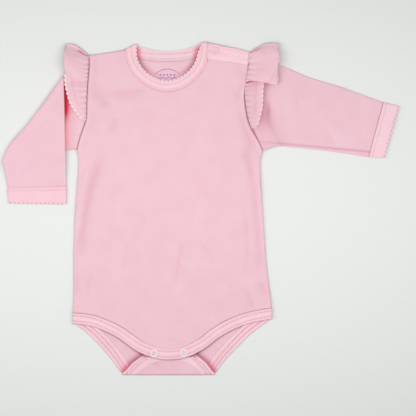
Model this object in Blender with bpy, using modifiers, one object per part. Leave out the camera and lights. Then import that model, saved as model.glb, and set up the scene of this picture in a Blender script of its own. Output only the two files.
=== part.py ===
# A long-sleeved baby onesie laid flat on its back, front uppermost, with ruffled shoulders.
# The neck is towards +Y, the table is z = 0, and the origin is under the middle of the body.
# The tables and sizes are in millimetres, and MM turns them into Blender's metres.

import math
from collections import namedtuple

import bmesh
import bpy
import numpy as np

MM = 0.001

CLOTH = 1.0  # wall of one layer of jersey
BINDING = 1.6  # wall of the doubled cloth in the bindings and the cuffs
GAP = 0.3  # clearance at each seam and between layers
BINDING_WIDTH = 12.5  # leg bindings
SEAM = GAP + 0.15  # what two cut edges leave between them, measured in plan
ARMHOLE_SEAM = 0.9  # the same round the armholes, where the panels curve most

BACK_Z = CLOTH / 2  # middle of the back layer, which lies on the table
FRONT_Z = BACK_Z + CLOTH + GAP  # middle of the front layer where it lies on the back
BACK_BINDING_Z = BINDING / 2
RUFFLE_LIFT = CLOTH + GAP + 0.15  # the sleeves ride this much higher over the hidden half of a ruffle

Section = namedtuple("Section", "name y left right")
BODY = (  # the body's edges, from the shoulders down to the legs
    Section("shoulder", 176.0, -92.5, 93.0),
    Section("sleeve head", 165.0, -91.8, 90.6),
    Section("upper armhole", 145.0, -93.6, 87.7),
    Section("mid armhole", 120.0, -94.8, 89.2),
    Section("ruffle end", 102.0, -95.2, 91.8),
    Section("lower armhole", 86.0, -100.8, 97.6),
    Section("armpit", 67.0, -105.8, 106.8),
    Section("chest", 25.0, -106.2, 107.5),
    Section("waist", -35.0, -108.1, 109.9),
    Section("hip", -85.0, -109.2, 113.2),
    Section("leg corner", -128.0, -110.6, 117.3),
)

FOLD_Y = -188.6  # the crotch folds up to the front here
BACK_LEG = (  # the back's leg edge, cut flat, so that y runs on past the fold: x, y
    (-110.6, -131.8),
    (-95.6, -142.0),
    (-78.8, -158.7),
    (-65.5, -174.6),
    (-55.6, -188.8),
    (-46.5, -200.6),
    (-34.0, -211.2),
    (-18.0, -218.6),
    (1.0, -221.2),
    (19.5, -218.6),
    (35.0, -211.2),
    (45.5, -200.6),
    (53.4, -188.8),
    (63.4, -174.1),
    (76.5, -160.7),
    (93.4, -143.8),
    (117.3, -126.2),
)

HEM = (  # the front's lower edge: x, y
    (-110.6, -131.8),
    (-88.0, -134.8),
    (-60.0, -147.2),
    (-38.0, -163.0),
    (-15.0, -172.4),
    (1.0, -174.0),
    (18.0, -171.6),
    (40.0, -160.6),
    (60.0, -145.3),
    (88.0, -132.4),
    (117.3, -126.2),
)

Neck = namedtuple("Neck", "half_width drop power y")
NECK_X = -2.8
FRONT_NECK = Neck(47.8, 43.6, 1.8, 178.0)  # outer edge of the neckband on the front
FRONT_NECK_EDGE = Neck(36.1, 31.9, 1.8, 178.0)  # its free, scalloped edge
BACK_NECK = Neck(47.8, 14.0, 2.0, 184.0)
BACK_NECK_EDGE = Neck(36.1, 9.5, 1.5, 190.0)
NECK_SHARES = np.linspace(0, 1, 15)  # the panels and the neckband share these places
STRAP_COLUMNS = 4
COLUMNS = 2 * STRAP_COLUMNS + len(NECK_SHARES)

LEFT_SHOULDER = ((-92.5, 176.0), (-79.9, 177.1), (-66.1, 179.6), (-51.5, 182.6))
RIGHT_SHOULDER = ((46.1, 190.3), (61.4, 187.0), (76.6, 184.4), (93.0, 179.6))
PLACKET_EDGE = ((46.1, 171.0), (61.0, 169.4), (76.0, 167.3), (90.8, 164.6))
# each end of the neckband: its seam side, then its free side
NECKBAND_ENDS = (((-51.0, 182.8), (-38.6, 188.9)), ((45.6, 190.4), (39.0, 191.2)))

Spot = namedtuple("Spot", "name x y reach_x reach_y rise")
FRONT_SPOTS = (  # what lifts the front off the back
    Spot("front tab over the flap", 0.0, -178.0, 92.0, 74.0, 5.0),
    Spot("left of the neck", -50.0, 176.0, 36.0, 44.0, 2.4),
    Spot("right of the neck", 48.0, 180.0, 50.0, 44.0, 2.4),
    Spot("left hem corner", -110.0, -130.0, 60.0, 48.0, 1.8),
    Spot("right hem corner", 116.0, -126.0, 60.0, 48.0, 1.8),
)
ROLL = 2.0  # rise of the soft roll along each side seam
ROLL_LEFT = ((67.0, 28.0), (0.0, 14.0), (-128.0, 9.0))  # y, width of the roll
ROLL_RIGHT = ((67.0, 22.0), (0.0, 11.0), (-128.0, 11.0))

Arm = namedtuple("Arm", "name over_x over_y under_x under_y")
RIGHT_ARM = (  # the sleeve's two edges, section by section
    Arm("armhole", 93.5, 175.4, 107.4, 67.4),
    Arm("elbow side", 126.0, 164.6, 124.0, 73.6),
    Arm("mid sleeve", 160.0, 150.0, 156.0, 70.6),
    Arm("forearm", 197.0, 139.2, 192.0, 66.4),
    Arm("cuff seam", 245.5, 121.4, 229.0, 60.6),
)
RIGHT_CUFF = Arm("cuff edge", 263.4, 116.4, 247.0, 60.0)
LEFT_ARM = (  # spread flat, before it is folded over its front along the crease
    Arm("armhole", -93.0, 171.6, -106.3, 67.2),
    Arm("crease", -121.6, 154.6, -190.5, 60.4),
    Arm("forearm", -180.0, 137.2, -215.0, 56.5),
    Arm("cuff seam", -244.8, 119.0, -226.2, 54.0),
)
LEFT_CUFF = Arm("cuff edge", -263.6, 113.4, -244.6, 50.6)
SLEEVE_HALF = 0.9  # half the distance between the middles of a sleeve's two layers
CUFF_HALF = 1.1
CREASE_Z = 3.2  # height of the line that the left sleeve folds about
RUFFLE_REACH = (19.0, 27.0)  # past the armhole, the sleeve comes down between these distances
FOREARM_DROP = (57.0, 24.0)  # the folded forearm comes down to the table between these heights

Rib = namedtuple("Rib", "root_y root_z tip_x tip_y tip_z belly")
LEFT_RUFFLE = (  # ribs from the seam to the free edge, up the front, over the shoulder, down the back
    Rib(101.0, 5.0, -98.4, 99.8, 5.6, 0.0),
    Rib(110.0, 5.0, -104.6, 108.6, 6.2, 0.6),
    Rib(120.0, 5.0, -111.6, 119.6, 6.8, 1.0),
    Rib(130.0, 5.0, -116.0, 131.6, 7.2, 1.4),
    Rib(140.0, 5.0, -118.8, 144.6, 7.6, 0.6),
    Rib(149.0, 5.0, -120.6, 156.6, 9.4, 2.2),
    Rib(158.0, 5.0, -121.2, 168.6, 10.4, 3.0),
    Rib(166.0, 5.0, -121.0, 180.6, 9.8, 3.0),
    Rib(171.4, 4.8, -118.6, 189.6, 7.6, 1.4),
    Rib(174.8, 3.2, -114.6, 189.6, 3.8, 0.0),
    Rib(175.2, 1.6, -110.6, 186.6, 1.2, 0.0),
    Rib(173.4, 0.5, -110.0, 180.0, 0.5, 0.0),
    Rib(160.0, 0.5, -110.8, 164.0, 0.5, 0.0),
    Rib(140.0, 0.5, -110.5, 142.0, 0.5, 0.0),
    Rib(122.0, 0.5, -106.5, 122.0, 0.5, 0.0),
    Rib(106.0, 0.5, -99.4, 104.6, 0.5, 0.0),
)
RIGHT_RUFFLE = (
    Rib(94.0, 5.0, 98.2, 91.6, 5.6, 0.0),
    Rib(104.0, 5.0, 103.6, 103.4, 6.2, 0.6),
    Rib(116.0, 5.0, 107.4, 116.4, 6.6, 0.8),
    Rib(128.0, 5.0, 108.0, 130.4, 6.6, 0.8),
    Rib(139.0, 5.0, 108.4, 143.6, 6.8, 0.4),
    Rib(145.0, 5.2, 111.0, 148.6, 7.6, -0.4),
    Rib(149.6, 5.6, 120.4, 149.6, 10.6, 1.6),
    Rib(156.0, 5.2, 125.0, 160.6, 11.6, 3.0),
    Rib(164.0, 5.0, 126.2, 173.0, 11.2, 3.2),
    Rib(172.0, 5.0, 124.6, 185.6, 9.2, 2.6),
    Rib(176.8, 4.6, 119.4, 191.4, 6.0, 0.8),
    Rib(178.8, 3.0, 114.4, 190.6, 3.2, 0.0),
    Rib(178.8, 1.4, 108.6, 187.0, 1.2, 0.0),
    Rib(176.8, 0.5, 106.0, 181.0, 0.5, 0.0),
    Rib(160.0, 0.5, 107.0, 163.0, 0.5, 0.0),
    Rib(142.0, 0.5, 106.0, 143.0, 0.5, 0.0),
    Rib(122.0, 0.5, 103.6, 122.0, 0.5, 0.0),
    Rib(102.0, 0.5, 98.2, 100.6, 0.5, 0.0),
)

FLAP_TOP = 3.6  # the upper face of the folded crotch, twice the height of the line it folds about
Snap = namedtuple("Snap", "name x y under_top")
SNAPS = (  # under_top is the face below the stud
    Snap("crotch_left", -17.3, -166.0, FLAP_TOP),
    Snap("crotch_right", 16.7, -165.6, FLAP_TOP),
    Snap("shoulder", 52.4, 180.6, CLOTH),
)
SNAP_RADIUS = 5.0
SNAP_HOLE = 2.4
SNAP_SEAT = 6.0  # the cloth is pressed flat this far round a snap
SNAP_FADE = 8.0
SNAP_GAP = 0.45  # between a snap and the cloth it is fixed to
CAP_HEIGHT = 1.0
STUD_DISC = 0.5
STUD_POST_RADIUS = 1.5
SNAP_SEGMENTS = 18

PINK = (0.85, 0.56, 0.63, 1.0)
RIB_PINK = (0.85, 0.55, 0.62, 1.0)
SNAP_WHITE = (0.88, 0.80, 0.82, 1.0)


# Curves and small shapes


def smoothstep(value):
    t = np.clip(value, 0.0, 1.0)
    return t * t * (3.0 - 2.0 * t)


def spline(points, at):
    """Points on a smooth curve through the given points, at shares of its length from 0 to 1."""
    points = np.array(points, float)
    ahead = np.vstack([2 * points[0] - points[1], points, 2 * points[-1] - points[-2]])
    dense = []
    for start in range(len(points) - 1):
        a, b, c, d = ahead[start : start + 4]
        for t in np.linspace(0, 1, 16, endpoint=False):
            dense.append(
                b
                + t * (c - a) / 2
                + t * t * (a - 2.5 * b + 2 * c - d / 2)
                + t**3 * (1.5 * (b - c) + (d - a) / 2)
            )
    dense = np.array(dense + [points[-1]])
    lengths = np.concatenate([[0], np.cumsum(np.linalg.norm(np.diff(dense, axis=0), axis=1))])
    along = np.asarray(at) * lengths[-1]
    return np.stack([np.interp(along, lengths, column) for column in dense.T], axis=-1)


def by_height(rows, column, y):
    """A column of a table, read smoothly at a height."""
    rows = sorted(rows, key=lambda row: row.y)
    curve = spline([(row.y, getattr(row, column)) for row in rows], np.linspace(0, 1, 200))
    return np.interp(y, curve[:, 0], curve[:, 1])


def neck_curve(neck, shares, grow=0.0):
    """The lower half of a rounded neckline, from left to right."""
    angle = math.pi * (1 + np.asarray(shares, float))
    power = 2 / neck.power
    across = np.sign(np.cos(angle)) * np.abs(np.cos(angle)) ** power
    down = np.abs(np.sin(angle)) ** power
    x = NECK_X + (neck.half_width + grow) * across
    y = neck.y - (neck.drop + grow) * down
    return np.stack([x, y], axis=-1)


def offset_left(path, distance):
    """The path moved sideways, to its left as it runs."""
    along = np.gradient(path, axis=0)
    along /= np.linalg.norm(along, axis=1)[:, None]
    return path + distance * np.stack([-along[:, 1], along[:, 0]], axis=-1)


# Heights of the layers


def spot_height(spot, x, y):
    away = np.hypot((x - spot.x) / spot.reach_x, (y - spot.y) / spot.reach_y)
    return spot.rise * (1 + np.cos(math.pi * np.clip(away, 0, 1))) / 2


def roll_height(inside, y, widths):
    """The soft roll beside a side seam, by the distance inside the edge."""
    width = np.interp(y, *zip(*sorted(widths)))
    share = np.clip(inside / width, 0, 1)
    below_armhole = smoothstep((100 - y) / 50)
    return ROLL * below_armhole * np.sin(math.pi * share**0.6)


def loose_height(x, y):
    """Middle of the front layer, before the snaps press it flat."""
    from_left = x - by_height(BODY, "left", y)
    from_right = by_height(BODY, "right", y) - x
    rise = sum(spot_height(spot, x, y) for spot in FRONT_SPOTS)
    left_seam = np.interp(x, *zip(*LEFT_SHOULDER)) - y
    rise *= np.where(x < -30, 0.4 + 0.6 * smoothstep(left_seam / 16), 1.0)
    rise += roll_height(from_left, y, ROLL_LEFT) + roll_height(from_right, y, ROLL_RIGHT)
    armhole = smoothstep((y - 62) / 16) * (1 - smoothstep(np.minimum(from_left, from_right) / 26))
    rise += RUFFLE_LIFT * armhole
    return FRONT_Z + rise


def front_height(x, y):
    """Middle of the front layer."""
    height = loose_height(x, y)
    for snap in SNAPS:
        away = np.hypot(x - snap.x, y - snap.y)
        pressed = 1 - smoothstep((away - SNAP_SEAT) / SNAP_FADE)
        height = height + pressed * (loose_height(snap.x, snap.y) - height)
    return height


def binding_height(x, y):
    """Middle of a binding on the front, whose underside is level with the cloth's."""
    return front_height(x, y) + (BINDING - CLOTH) / 2


# Making solids


def collection(name):
    made = bpy.data.collections.new(name)
    bpy.context.scene.collection.children.link(made)
    return made


def material(name, colour, roughness):
    made = bpy.data.materials.new(name)
    made.use_nodes = True
    shader = made.node_tree.nodes["Principled BSDF"]
    shader.inputs["Base Color"].default_value = colour
    shader.inputs["Roughness"].default_value = roughness
    shader.inputs["Metallic"].default_value = 0.0
    return made


def add_object(name, mesh, finish):
    made = bpy.data.objects.new(name, mesh)
    made.data.materials.append(finish)
    GARMENT.objects.link(made)
    return made


def cloth(name, points, thickness, finish):
    """A wall of cloth: a grid moved onto the points in mm, row by row, and thickened about its middle."""
    rows, columns = points.shape[:2]
    mesh = bpy.data.meshes.new(name)
    grid = bmesh.new()
    bmesh.ops.create_grid(grid, x_segments=columns - 1, y_segments=rows - 1, size=1.0)
    ordered = sorted(grid.verts, key=lambda vert: (round(vert.co.y, 4), round(vert.co.x, 4)))
    for vert, point in zip(ordered, points.reshape(-1, 3)):
        vert.co = point * MM
    bmesh.ops.remove_doubles(grid, verts=grid.verts, dist=0.01 * MM)
    grid.to_mesh(mesh)
    grid.free()
    made = add_object(name, mesh, finish)
    mesh.shade_smooth()
    wall = made.modifiers.new("wall", "SOLIDIFY")
    wall.thickness = thickness * MM
    wall.offset = 0.0
    return made


def turned(name, profile, finish):
    """A turned solid: a closed profile of (radius, height) in mm, spun about Z by a Screw modifier."""
    mesh = bpy.data.meshes.new(name)
    outline = bmesh.new()
    corners = [outline.verts.new((radius * MM, 0, height * MM)) for radius, height in profile]
    for start, end in zip(corners, corners[1:] + corners[:1]):
        outline.edges.new((start, end))
    outline.to_mesh(mesh)
    outline.free()
    made = add_object(name, mesh, finish)
    screw = made.modifiers.new("turn", "SCREW")
    screw.steps = SNAP_SEGMENTS
    screw.render_steps = SNAP_SEGMENTS
    screw.use_merge_vertices = True
    screw.use_normal_flip = True
    screw.merge_threshold = 0.00001
    return made


# The body


def panel_grid(rows_y, left, right, top, bottom, reach_top, reach_bottom):
    """Rows straight across between the side edges, bent near the ends into the top and bottom edges."""
    shares = np.linspace(0, 1, COLUMNS)
    grid = np.zeros((len(rows_y), COLUMNS, 2))
    grid[..., 0] = left(rows_y)[:, None] + (right(rows_y) - left(rows_y))[:, None] * shares
    grid[..., 1] = rows_y[:, None]
    for edge, at, reach in ((bottom, 0, reach_bottom), (top, -1, reach_top)):
        share = smoothstep(1 - np.abs(rows_y - rows_y[at]) / reach)
        grid = grid + share[:, None, None] * (edge - grid[at])
    return grid


def with_height(plan, height):
    return np.dstack([plan, height(plan[..., 0], plan[..., 1])])


def panel_top(neck, left_shoulder, right_shoulder):
    """The top edge of a panel: left shoulder, neckline, right shoulder."""
    curve = neck_curve(neck, NECK_SHARES, grow=SEAM)
    highest = np.where(curve[:, 0] > 0, right_shoulder[0][1], left_shoulder[-1][1])
    curve[:, 1] = np.minimum(curve[:, 1], highest)
    left = spline(left_shoulder, np.linspace(0, 1, STRAP_COLUMNS))
    right = spline(right_shoulder, np.linspace(0, 1, STRAP_COLUMNS))
    return np.vstack([left, curve, right])


def side(column):
    return lambda y: by_height(BODY, column, y)


def front_body():
    top = panel_top(FRONT_NECK, LEFT_SHOULDER, np.array(PLACKET_EDGE) - (0, SEAM))
    hem = offset_left(spline(HEM, np.linspace(0, 1, COLUMNS)), BINDING_WIDTH + SEAM)
    hem[0, 0], hem[-1, 0] = HEM[0][0], HEM[-1][0]
    rows_y = np.concatenate([np.linspace(-117, 60, 9), np.linspace(70, 172, 11), [176]])
    plan = panel_grid(rows_y, side("left"), side("right"), top, hem, 110.0, 110.0)
    return cloth("front_body", with_height(plan, front_height), CLOTH, JERSEY)


def fold_up(points):
    """Wraps what lies past the crotch fold round a half circle, up onto the front."""
    past = FOLD_Y - points[..., 1]
    radius = FOLD_AXIS_Z - points[..., 2]
    angle = np.clip(past / FOLD_RADIUS, 0, math.pi)
    beyond = np.clip(past - FOLD_LENGTH, 0, None)
    folded = points.copy()
    folded[..., 1] = np.where(past > 0, FOLD_Y - radius * np.sin(angle) + beyond, points[..., 1])
    folded[..., 2] = np.where(past > 0, FOLD_AXIS_Z - radius * np.cos(angle), points[..., 2])
    return folded


FOLD_AXIS_Z = FLAP_TOP / 2
FOLD_RADIUS = FOLD_AXIS_Z - BACK_Z  # of the panel's middle, which sets how much cloth the fold takes
FOLD_LENGTH = math.pi * FOLD_RADIUS
FOLD_ROWS = FOLD_Y - np.linspace(0, FOLD_LENGTH, 7)


def leg_edge(inside):
    """The back's leg edge in fine steps, left to right, moved inwards."""
    path = offset_left(spline(BACK_LEG, np.linspace(0, 1, 600)), inside)
    start = path[0] + (path[0] - path[8]) * 6  # runs on, to be cut off at the side edge
    end = path[-1] + (path[-1] - path[-9]) * 6
    return np.vstack([start, path, end])


def half_edge(path, right):
    """One half of a leg edge, ordered from the crotch up."""
    lowest = int(np.argmin(path[:, 1]))
    return path[lowest:] if right else path[lowest::-1]


def back_leg_side(right):
    edge = half_edge(leg_edge(BINDING_WIDTH + SEAM), right)
    column, inner = ("right", np.minimum) if right else ("left", np.maximum)
    return lambda y: inner(by_height(BODY, column, y), np.interp(y, edge[:, 1], edge[:, 0]))


def back_body():
    top = panel_top(BACK_NECK, LEFT_SHOULDER, RIGHT_SHOULDER)
    left, right = back_leg_side(False), back_leg_side(True)
    lowest = FOLD_Y - 13.0
    edge = leg_edge(BINDING_WIDTH + SEAM)
    crotch = edge[(edge[:, 1] < lowest) & (np.abs(edge[:, 0]) < 60)]
    bottom = spline(crotch[:: max(1, len(crotch) // 12)], np.linspace(0, 1, COLUMNS))
    bottom[0] = (left(lowest), lowest)
    bottom[-1] = (right(lowest), lowest)
    rows_y = np.concatenate(
        [
            np.linspace(lowest, FOLD_ROWS[-1], 3)[:-1],
            FOLD_ROWS[::-1],
            np.linspace(FOLD_Y, -113, 9)[1:],
            np.linspace(-90, 60, 4),
            np.linspace(76, 176, 9),
        ]
    )
    plan = panel_grid(rows_y, left, right, top, bottom, 100.0, FOLD_ROWS[-1] - lowest)
    flat = with_height(plan, lambda x, y: np.full_like(x, BACK_Z))
    return cloth("back_body", fold_up(flat), CLOTH, JERSEY)


# Bindings


def strip(outer, inner, columns=3):
    """A band between two edges: a row of points for each place along it."""
    shares = np.linspace(0, 1, columns)[None, :, None]
    return outer[:, None, :] * (1 - shares) + inner[:, None, :] * shares


def front_leg_binding():
    outer = spline(HEM, np.linspace(0, 1, COLUMNS))
    inner = offset_left(outer, BINDING_WIDTH)
    inner[0, 0], inner[-1, 0] = outer[0, 0], outer[-1, 0]
    return cloth("leg_binding_front", with_height(strip(outer, inner), binding_height), BINDING, TRIM)


def back_leg_stations(path, right):
    """Places along half the leg edge, from the crotch up, with one on each row of the fold."""
    half = half_edge(path, right)
    limit = HEM[-1][0] if right else -HEM[0][0]
    half = half[np.abs(half[:, 0]) <= limit + 0.01]
    lengths = np.concatenate([[0], np.cumsum(np.linalg.norm(np.diff(half, axis=0), axis=1))])
    at_fold = np.interp(FOLD_ROWS[::-1], half[:, 1], lengths)
    places = np.concatenate(
        [np.linspace(0, at_fold[0], 5)[:-1], at_fold, np.linspace(at_fold[-1], lengths[-1], 10)[1:]]
    )
    points = np.stack([np.interp(places, lengths, column) for column in half.T], axis=-1)
    points[-1, 0] = limit if right else -limit
    return points


def back_leg_binding():
    edges = []
    for inside in (0.0, BINDING_WIDTH):
        path = leg_edge(inside)
        edges.append(np.vstack([back_leg_stations(path, False)[:0:-1], back_leg_stations(path, True)]))
    flat = with_height(strip(*edges), lambda x, y: np.full_like(x, BACK_BINDING_Z))
    return cloth("leg_binding_back", fold_up(flat), BINDING, TRIM)


def neckband(name, seam, free, height):
    (left_seam, left_free), (right_seam, right_free) = NECKBAND_ENDS
    outer = np.vstack([left_seam, neck_curve(seam, NECK_SHARES), right_seam])
    inner = np.vstack([left_free, neck_curve(free, NECK_SHARES), right_free])
    return cloth(name, with_height(strip(outer, inner), height), BINDING, TRIM)


def shoulder_placket():
    lower = spline(PLACKET_EDGE, np.linspace(0, 1, 10))
    upper = spline(RIGHT_SHOULDER, np.linspace(0, 1, 10))
    return cloth("shoulder_placket", with_height(strip(upper, lower, 5), binding_height), BINDING, TRIM)


# Sleeves


def ring(line, centre_z, half):
    """A flattened ring of points round a line that runs from a sleeve's upper edge to its lower one."""
    lengths = np.concatenate([[0], np.cumsum(np.linalg.norm(np.diff(line, axis=0), axis=1))])
    width = lengths[-1]
    corner = np.array([0, 0.3, 1.0]) * half
    across = np.concatenate([corner, np.linspace(0, width, 7)[1:-1], width - corner[::-1]])
    plan = np.stack([np.interp(across, lengths, column) for column in line.T], axis=-1)
    inside = np.clip(np.minimum(across, width - across) / half, 0, 1)
    rise = half * np.sqrt(1 - (1 - inside) ** 2)
    front = np.column_stack([plan, centre_z + rise])
    back = np.column_stack([plan, centre_z - rise])
    return np.vstack([front, back[-2:0:-1], front[:1]])


def arm_line(arm, count=41):
    shares = np.linspace(0, 1, count)[:, None]
    over, under = np.array([arm.over_x, arm.over_y]), np.array([arm.under_x, arm.under_y])
    return over * (1 - shares) + under * shares


def between(start, end, share):
    return Arm("between", *(a + (b - a) * share for a, b in zip(start[1:], end[1:])))


def armhole_line(arm, column, out):
    """The armhole seam from the sleeve's upper edge to its lower one, just outside the body."""
    y = np.linspace(arm.over_y, arm.under_y, 41)
    return np.column_stack([by_height(BODY, column, y) + out * ARMHOLE_SEAM, y])


def sleeve_stations(arms, column, out, steps):
    """Lines across the sleeve, that follow the armhole first and straighten on the way out."""
    bow = armhole_line(arms[0], column, out) - arm_line(arms[0])
    lines = []
    for order, (start, end, count) in enumerate(zip(arms, arms[1:], steps)):
        for step in range(count):
            share = step / count
            fade = 1 - smoothstep(share) if order == 0 else 0
            lines.append(arm_line(between(start, end, share)) + bow * fade)
    return lines + [arm_line(arms[-1])]


def sleeve_rings(lines, column):
    """Rings on the lines, raised near the armhole over the hidden half of the ruffle."""
    rings = np.array([ring(line, BACK_Z + SLEEVE_HALF, SLEEVE_HALF) for line in lines])
    reach = np.abs(rings[..., 0]) - np.abs(by_height(BODY, column, rings[..., 1]))
    near, far = RUFFLE_REACH
    rings[..., 2] += RUFFLE_LIFT * (1 - smoothstep((reach - near) / (far - near)))
    return rings


def cuff_rings(seam, edge, rest_z):
    length = math.hypot(edge.over_x - seam.over_x, edge.over_y - seam.over_y)
    shares = np.linspace(SEAM / length, 1, 3)
    return np.array([ring(arm_line(between(seam, edge, share)), rest_z, CUFF_HALF) for share in shares])


def right_sleeve():
    lines = sleeve_stations(RIGHT_ARM, "right", 1, (5, 3, 3, 3))
    cloth("sleeve_right", sleeve_rings(lines, "right"), CLOTH, JERSEY)
    cloth("cuff_right", cuff_rings(RIGHT_ARM[-1], RIGHT_CUFF, BINDING / 2 + CUFF_HALF), BINDING, TRIM)


def fold_sleeve(points):
    """Folds what lies past the left sleeve's crease over onto its front, and lays it on the table."""
    _, over_x, over_y, under_x, under_y = LEFT_ARM[1]
    along = np.array([under_x - over_x, under_y - over_y])
    along /= np.linalg.norm(along)
    out = np.array([along[1], -along[0]])  # away from the body
    start = np.array([over_x, over_y]) - out * CREASE_Z
    place = (points[..., :2] - start) @ along
    past = (points[..., :2] - start) @ out
    radius = CREASE_Z - points[..., 2]
    angle = np.clip(past / CREASE_RADIUS, 0, math.pi)
    straight = np.clip(past - CREASE_LENGTH, 0, None)
    turned_back = np.where(past > 0, radius * np.sin(angle) - straight, past)
    height = np.where(past > 0, CREASE_Z - radius * np.cos(angle), points[..., 2])
    folded = points.copy()
    folded[..., :2] = start + place[..., None] * along + turned_back[..., None] * out
    high, low = FOREARM_DROP
    drop = smoothstep((high - folded[..., 1]) / (high - low)) * (past > CREASE_LENGTH)
    folded[..., 2] = height - FOREARM_LIFT * drop
    return folded


LOWER_STATIONS = [(LEFT_ARM[1], LEFT_ARM[2], 0.5)] + [
    (LEFT_ARM[2], LEFT_ARM[3], share) for share in (0.0, 0.3, 0.65, 1.0)
]
CREASE_RADIUS = CREASE_Z - BACK_Z - SLEEVE_HALF  # of the sleeve's middle
CREASE_LENGTH = math.pi * CREASE_RADIUS
FOREARM_LIFT = 2 * CREASE_RADIUS  # what the upper sleeve and the fold hold the forearm up by


def crease_station(distance):
    """A line across the left sleeve, parallel to its crease and this far past it."""
    _, over_x, over_y, under_x, under_y = LEFT_ARM[1]
    along = np.array([under_x - over_x, under_y - over_y])
    out = np.array([along[1], -along[0]]) / np.linalg.norm(along)
    crease, forearm = arm_line(LEFT_ARM[1]), arm_line(LEFT_ARM[2])
    ahead = ((forearm - crease) @ out)[:, None]
    return crease + (forearm - crease) * distance / ahead


def left_sleeve():
    upper = sleeve_stations(LEFT_ARM[:2], "left", -1, (7,))[:-1]
    crease = [crease_station(distance) for distance in np.linspace(0, CREASE_LENGTH, 7) - CREASE_Z]
    lower = [arm_line(between(start, end, share)) for start, end, share in LOWER_STATIONS]
    cloth("sleeve_left", fold_sleeve(sleeve_rings(upper + crease + lower, "left")), CLOTH, JERSEY)
    cuff_z = BACK_Z + 2 * SLEEVE_HALF + CLOTH / 2 - BINDING / 2 - CUFF_HALF
    cloth("cuff_left", fold_sleeve(cuff_rings(LEFT_ARM[-1], LEFT_CUFF, cuff_z)), BINDING, TRIM)


# Ruffles


def ruffle(name, ribs, column, out):
    """A gathered strip from the armhole seam to its free edge, rib by rib."""
    table = spline([rib[:] for rib in ribs], np.linspace(0, 1, 2 * len(ribs)))
    rows = []
    for root_y, root_z, tip_x, tip_y, tip_z, belly in table:
        root = np.array([by_height(BODY, column, root_y) + out * (ARMHOLE_SEAM + 0.2), root_y, root_z])
        tip = np.array([tip_x, tip_y, tip_z])
        shares = np.linspace(0, 1, 5)[:, None]
        row = root * (1 - shares) + tip * shares
        row[:, 2] = np.maximum(row[:, 2] + belly * np.sin(math.pi * shares[:, 0]), BACK_Z)
        rows.append(row)
    return cloth(name, np.array(rows), CLOTH, JERSEY)


# Snaps


def snap_set(snap):
    """A closed ring snap: its cap over the front layer, and its socket and stud between the layers."""
    middle = float(binding_height(snap.x, snap.y))
    cap_bottom = middle + BINDING / 2 + SNAP_GAP
    socket_top = middle - BINDING / 2 - SNAP_GAP
    stud_bottom = snap.under_top + GAP
    disc_top = stud_bottom + STUD_DISC
    pieces = (
        (
            "cap",
            (
                (SNAP_HOLE, cap_bottom),
                (SNAP_RADIUS, cap_bottom),
                (SNAP_RADIUS - 0.2, cap_bottom + 0.7 * CAP_HEIGHT),
                (SNAP_RADIUS - 1.2, cap_bottom + CAP_HEIGHT),
                (SNAP_HOLE + 0.4, cap_bottom + CAP_HEIGHT),
            ),
        ),
        (
            "socket",
            (
                (STUD_POST_RADIUS + GAP, disc_top + GAP),
                (SNAP_RADIUS - 0.5, disc_top + GAP),
                (SNAP_RADIUS - 0.5, socket_top),
                (STUD_POST_RADIUS + GAP, socket_top),
            ),
        ),
        (
            "stud",
            (
                (0, stud_bottom),
                (SNAP_RADIUS - 0.5, stud_bottom),
                (SNAP_RADIUS - 0.5, disc_top),
                (STUD_POST_RADIUS, disc_top),
                (STUD_POST_RADIUS, socket_top),
                (0, socket_top),
            ),
        ),
    )
    for kind, profile in pieces:
        made = turned(f"snap_{kind}_{snap.name}", profile, SNAP_PLASTIC)
        made.location = (snap.x * MM, snap.y * MM, 0)


def main():
    front_body()
    back_body()
    front_leg_binding()
    back_leg_binding()
    neckband("neckband_front", FRONT_NECK, FRONT_NECK_EDGE, binding_height)
    neckband("neckband_back", BACK_NECK, BACK_NECK_EDGE, lambda x, y: np.full_like(x, BACK_BINDING_Z))
    shoulder_placket()
    right_sleeve()
    left_sleeve()
    ruffle("ruffle_left", LEFT_RUFFLE, "left", -1)
    ruffle("ruffle_right", RIGHT_RUFFLE, "right", 1)
    for snap in SNAPS:
        snap_set(snap)


for old in list(bpy.data.objects):
    bpy.data.objects.remove(old)
GARMENT = collection("baby_onesie")
JERSEY = material("cotton jersey", PINK, 0.9)
TRIM = material("jersey binding", RIB_PINK, 0.9)
SNAP_PLASTIC = material("snap", SNAP_WHITE, 0.35)
main()
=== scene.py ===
import math
import bmesh
import bpy
import numpy as np
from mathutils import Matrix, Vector
from mathutils.bvhtree import BVHTree


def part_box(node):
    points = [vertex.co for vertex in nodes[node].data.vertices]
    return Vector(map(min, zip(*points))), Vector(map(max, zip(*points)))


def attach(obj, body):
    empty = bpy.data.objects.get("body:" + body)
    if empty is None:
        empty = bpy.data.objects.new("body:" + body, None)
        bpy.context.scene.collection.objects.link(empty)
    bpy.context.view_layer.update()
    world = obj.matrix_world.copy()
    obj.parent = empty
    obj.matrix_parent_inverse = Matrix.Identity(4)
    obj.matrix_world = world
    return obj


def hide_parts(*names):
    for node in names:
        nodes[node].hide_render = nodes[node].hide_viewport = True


# a baby onesie laid flat: the cloth, seams, stitches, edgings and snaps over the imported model
# sizes in the dictionaries are millimetres; the neck is towards +Y and the table is z = 0

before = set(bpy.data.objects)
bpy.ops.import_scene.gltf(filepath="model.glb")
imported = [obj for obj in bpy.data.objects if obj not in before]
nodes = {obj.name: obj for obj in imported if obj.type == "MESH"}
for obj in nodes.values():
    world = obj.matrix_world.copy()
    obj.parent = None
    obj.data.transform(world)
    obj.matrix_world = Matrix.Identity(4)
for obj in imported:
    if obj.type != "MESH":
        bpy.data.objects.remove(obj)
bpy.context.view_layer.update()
mm = 0.001
bpy.ops.object.select_all(action="DESELECT")


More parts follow.
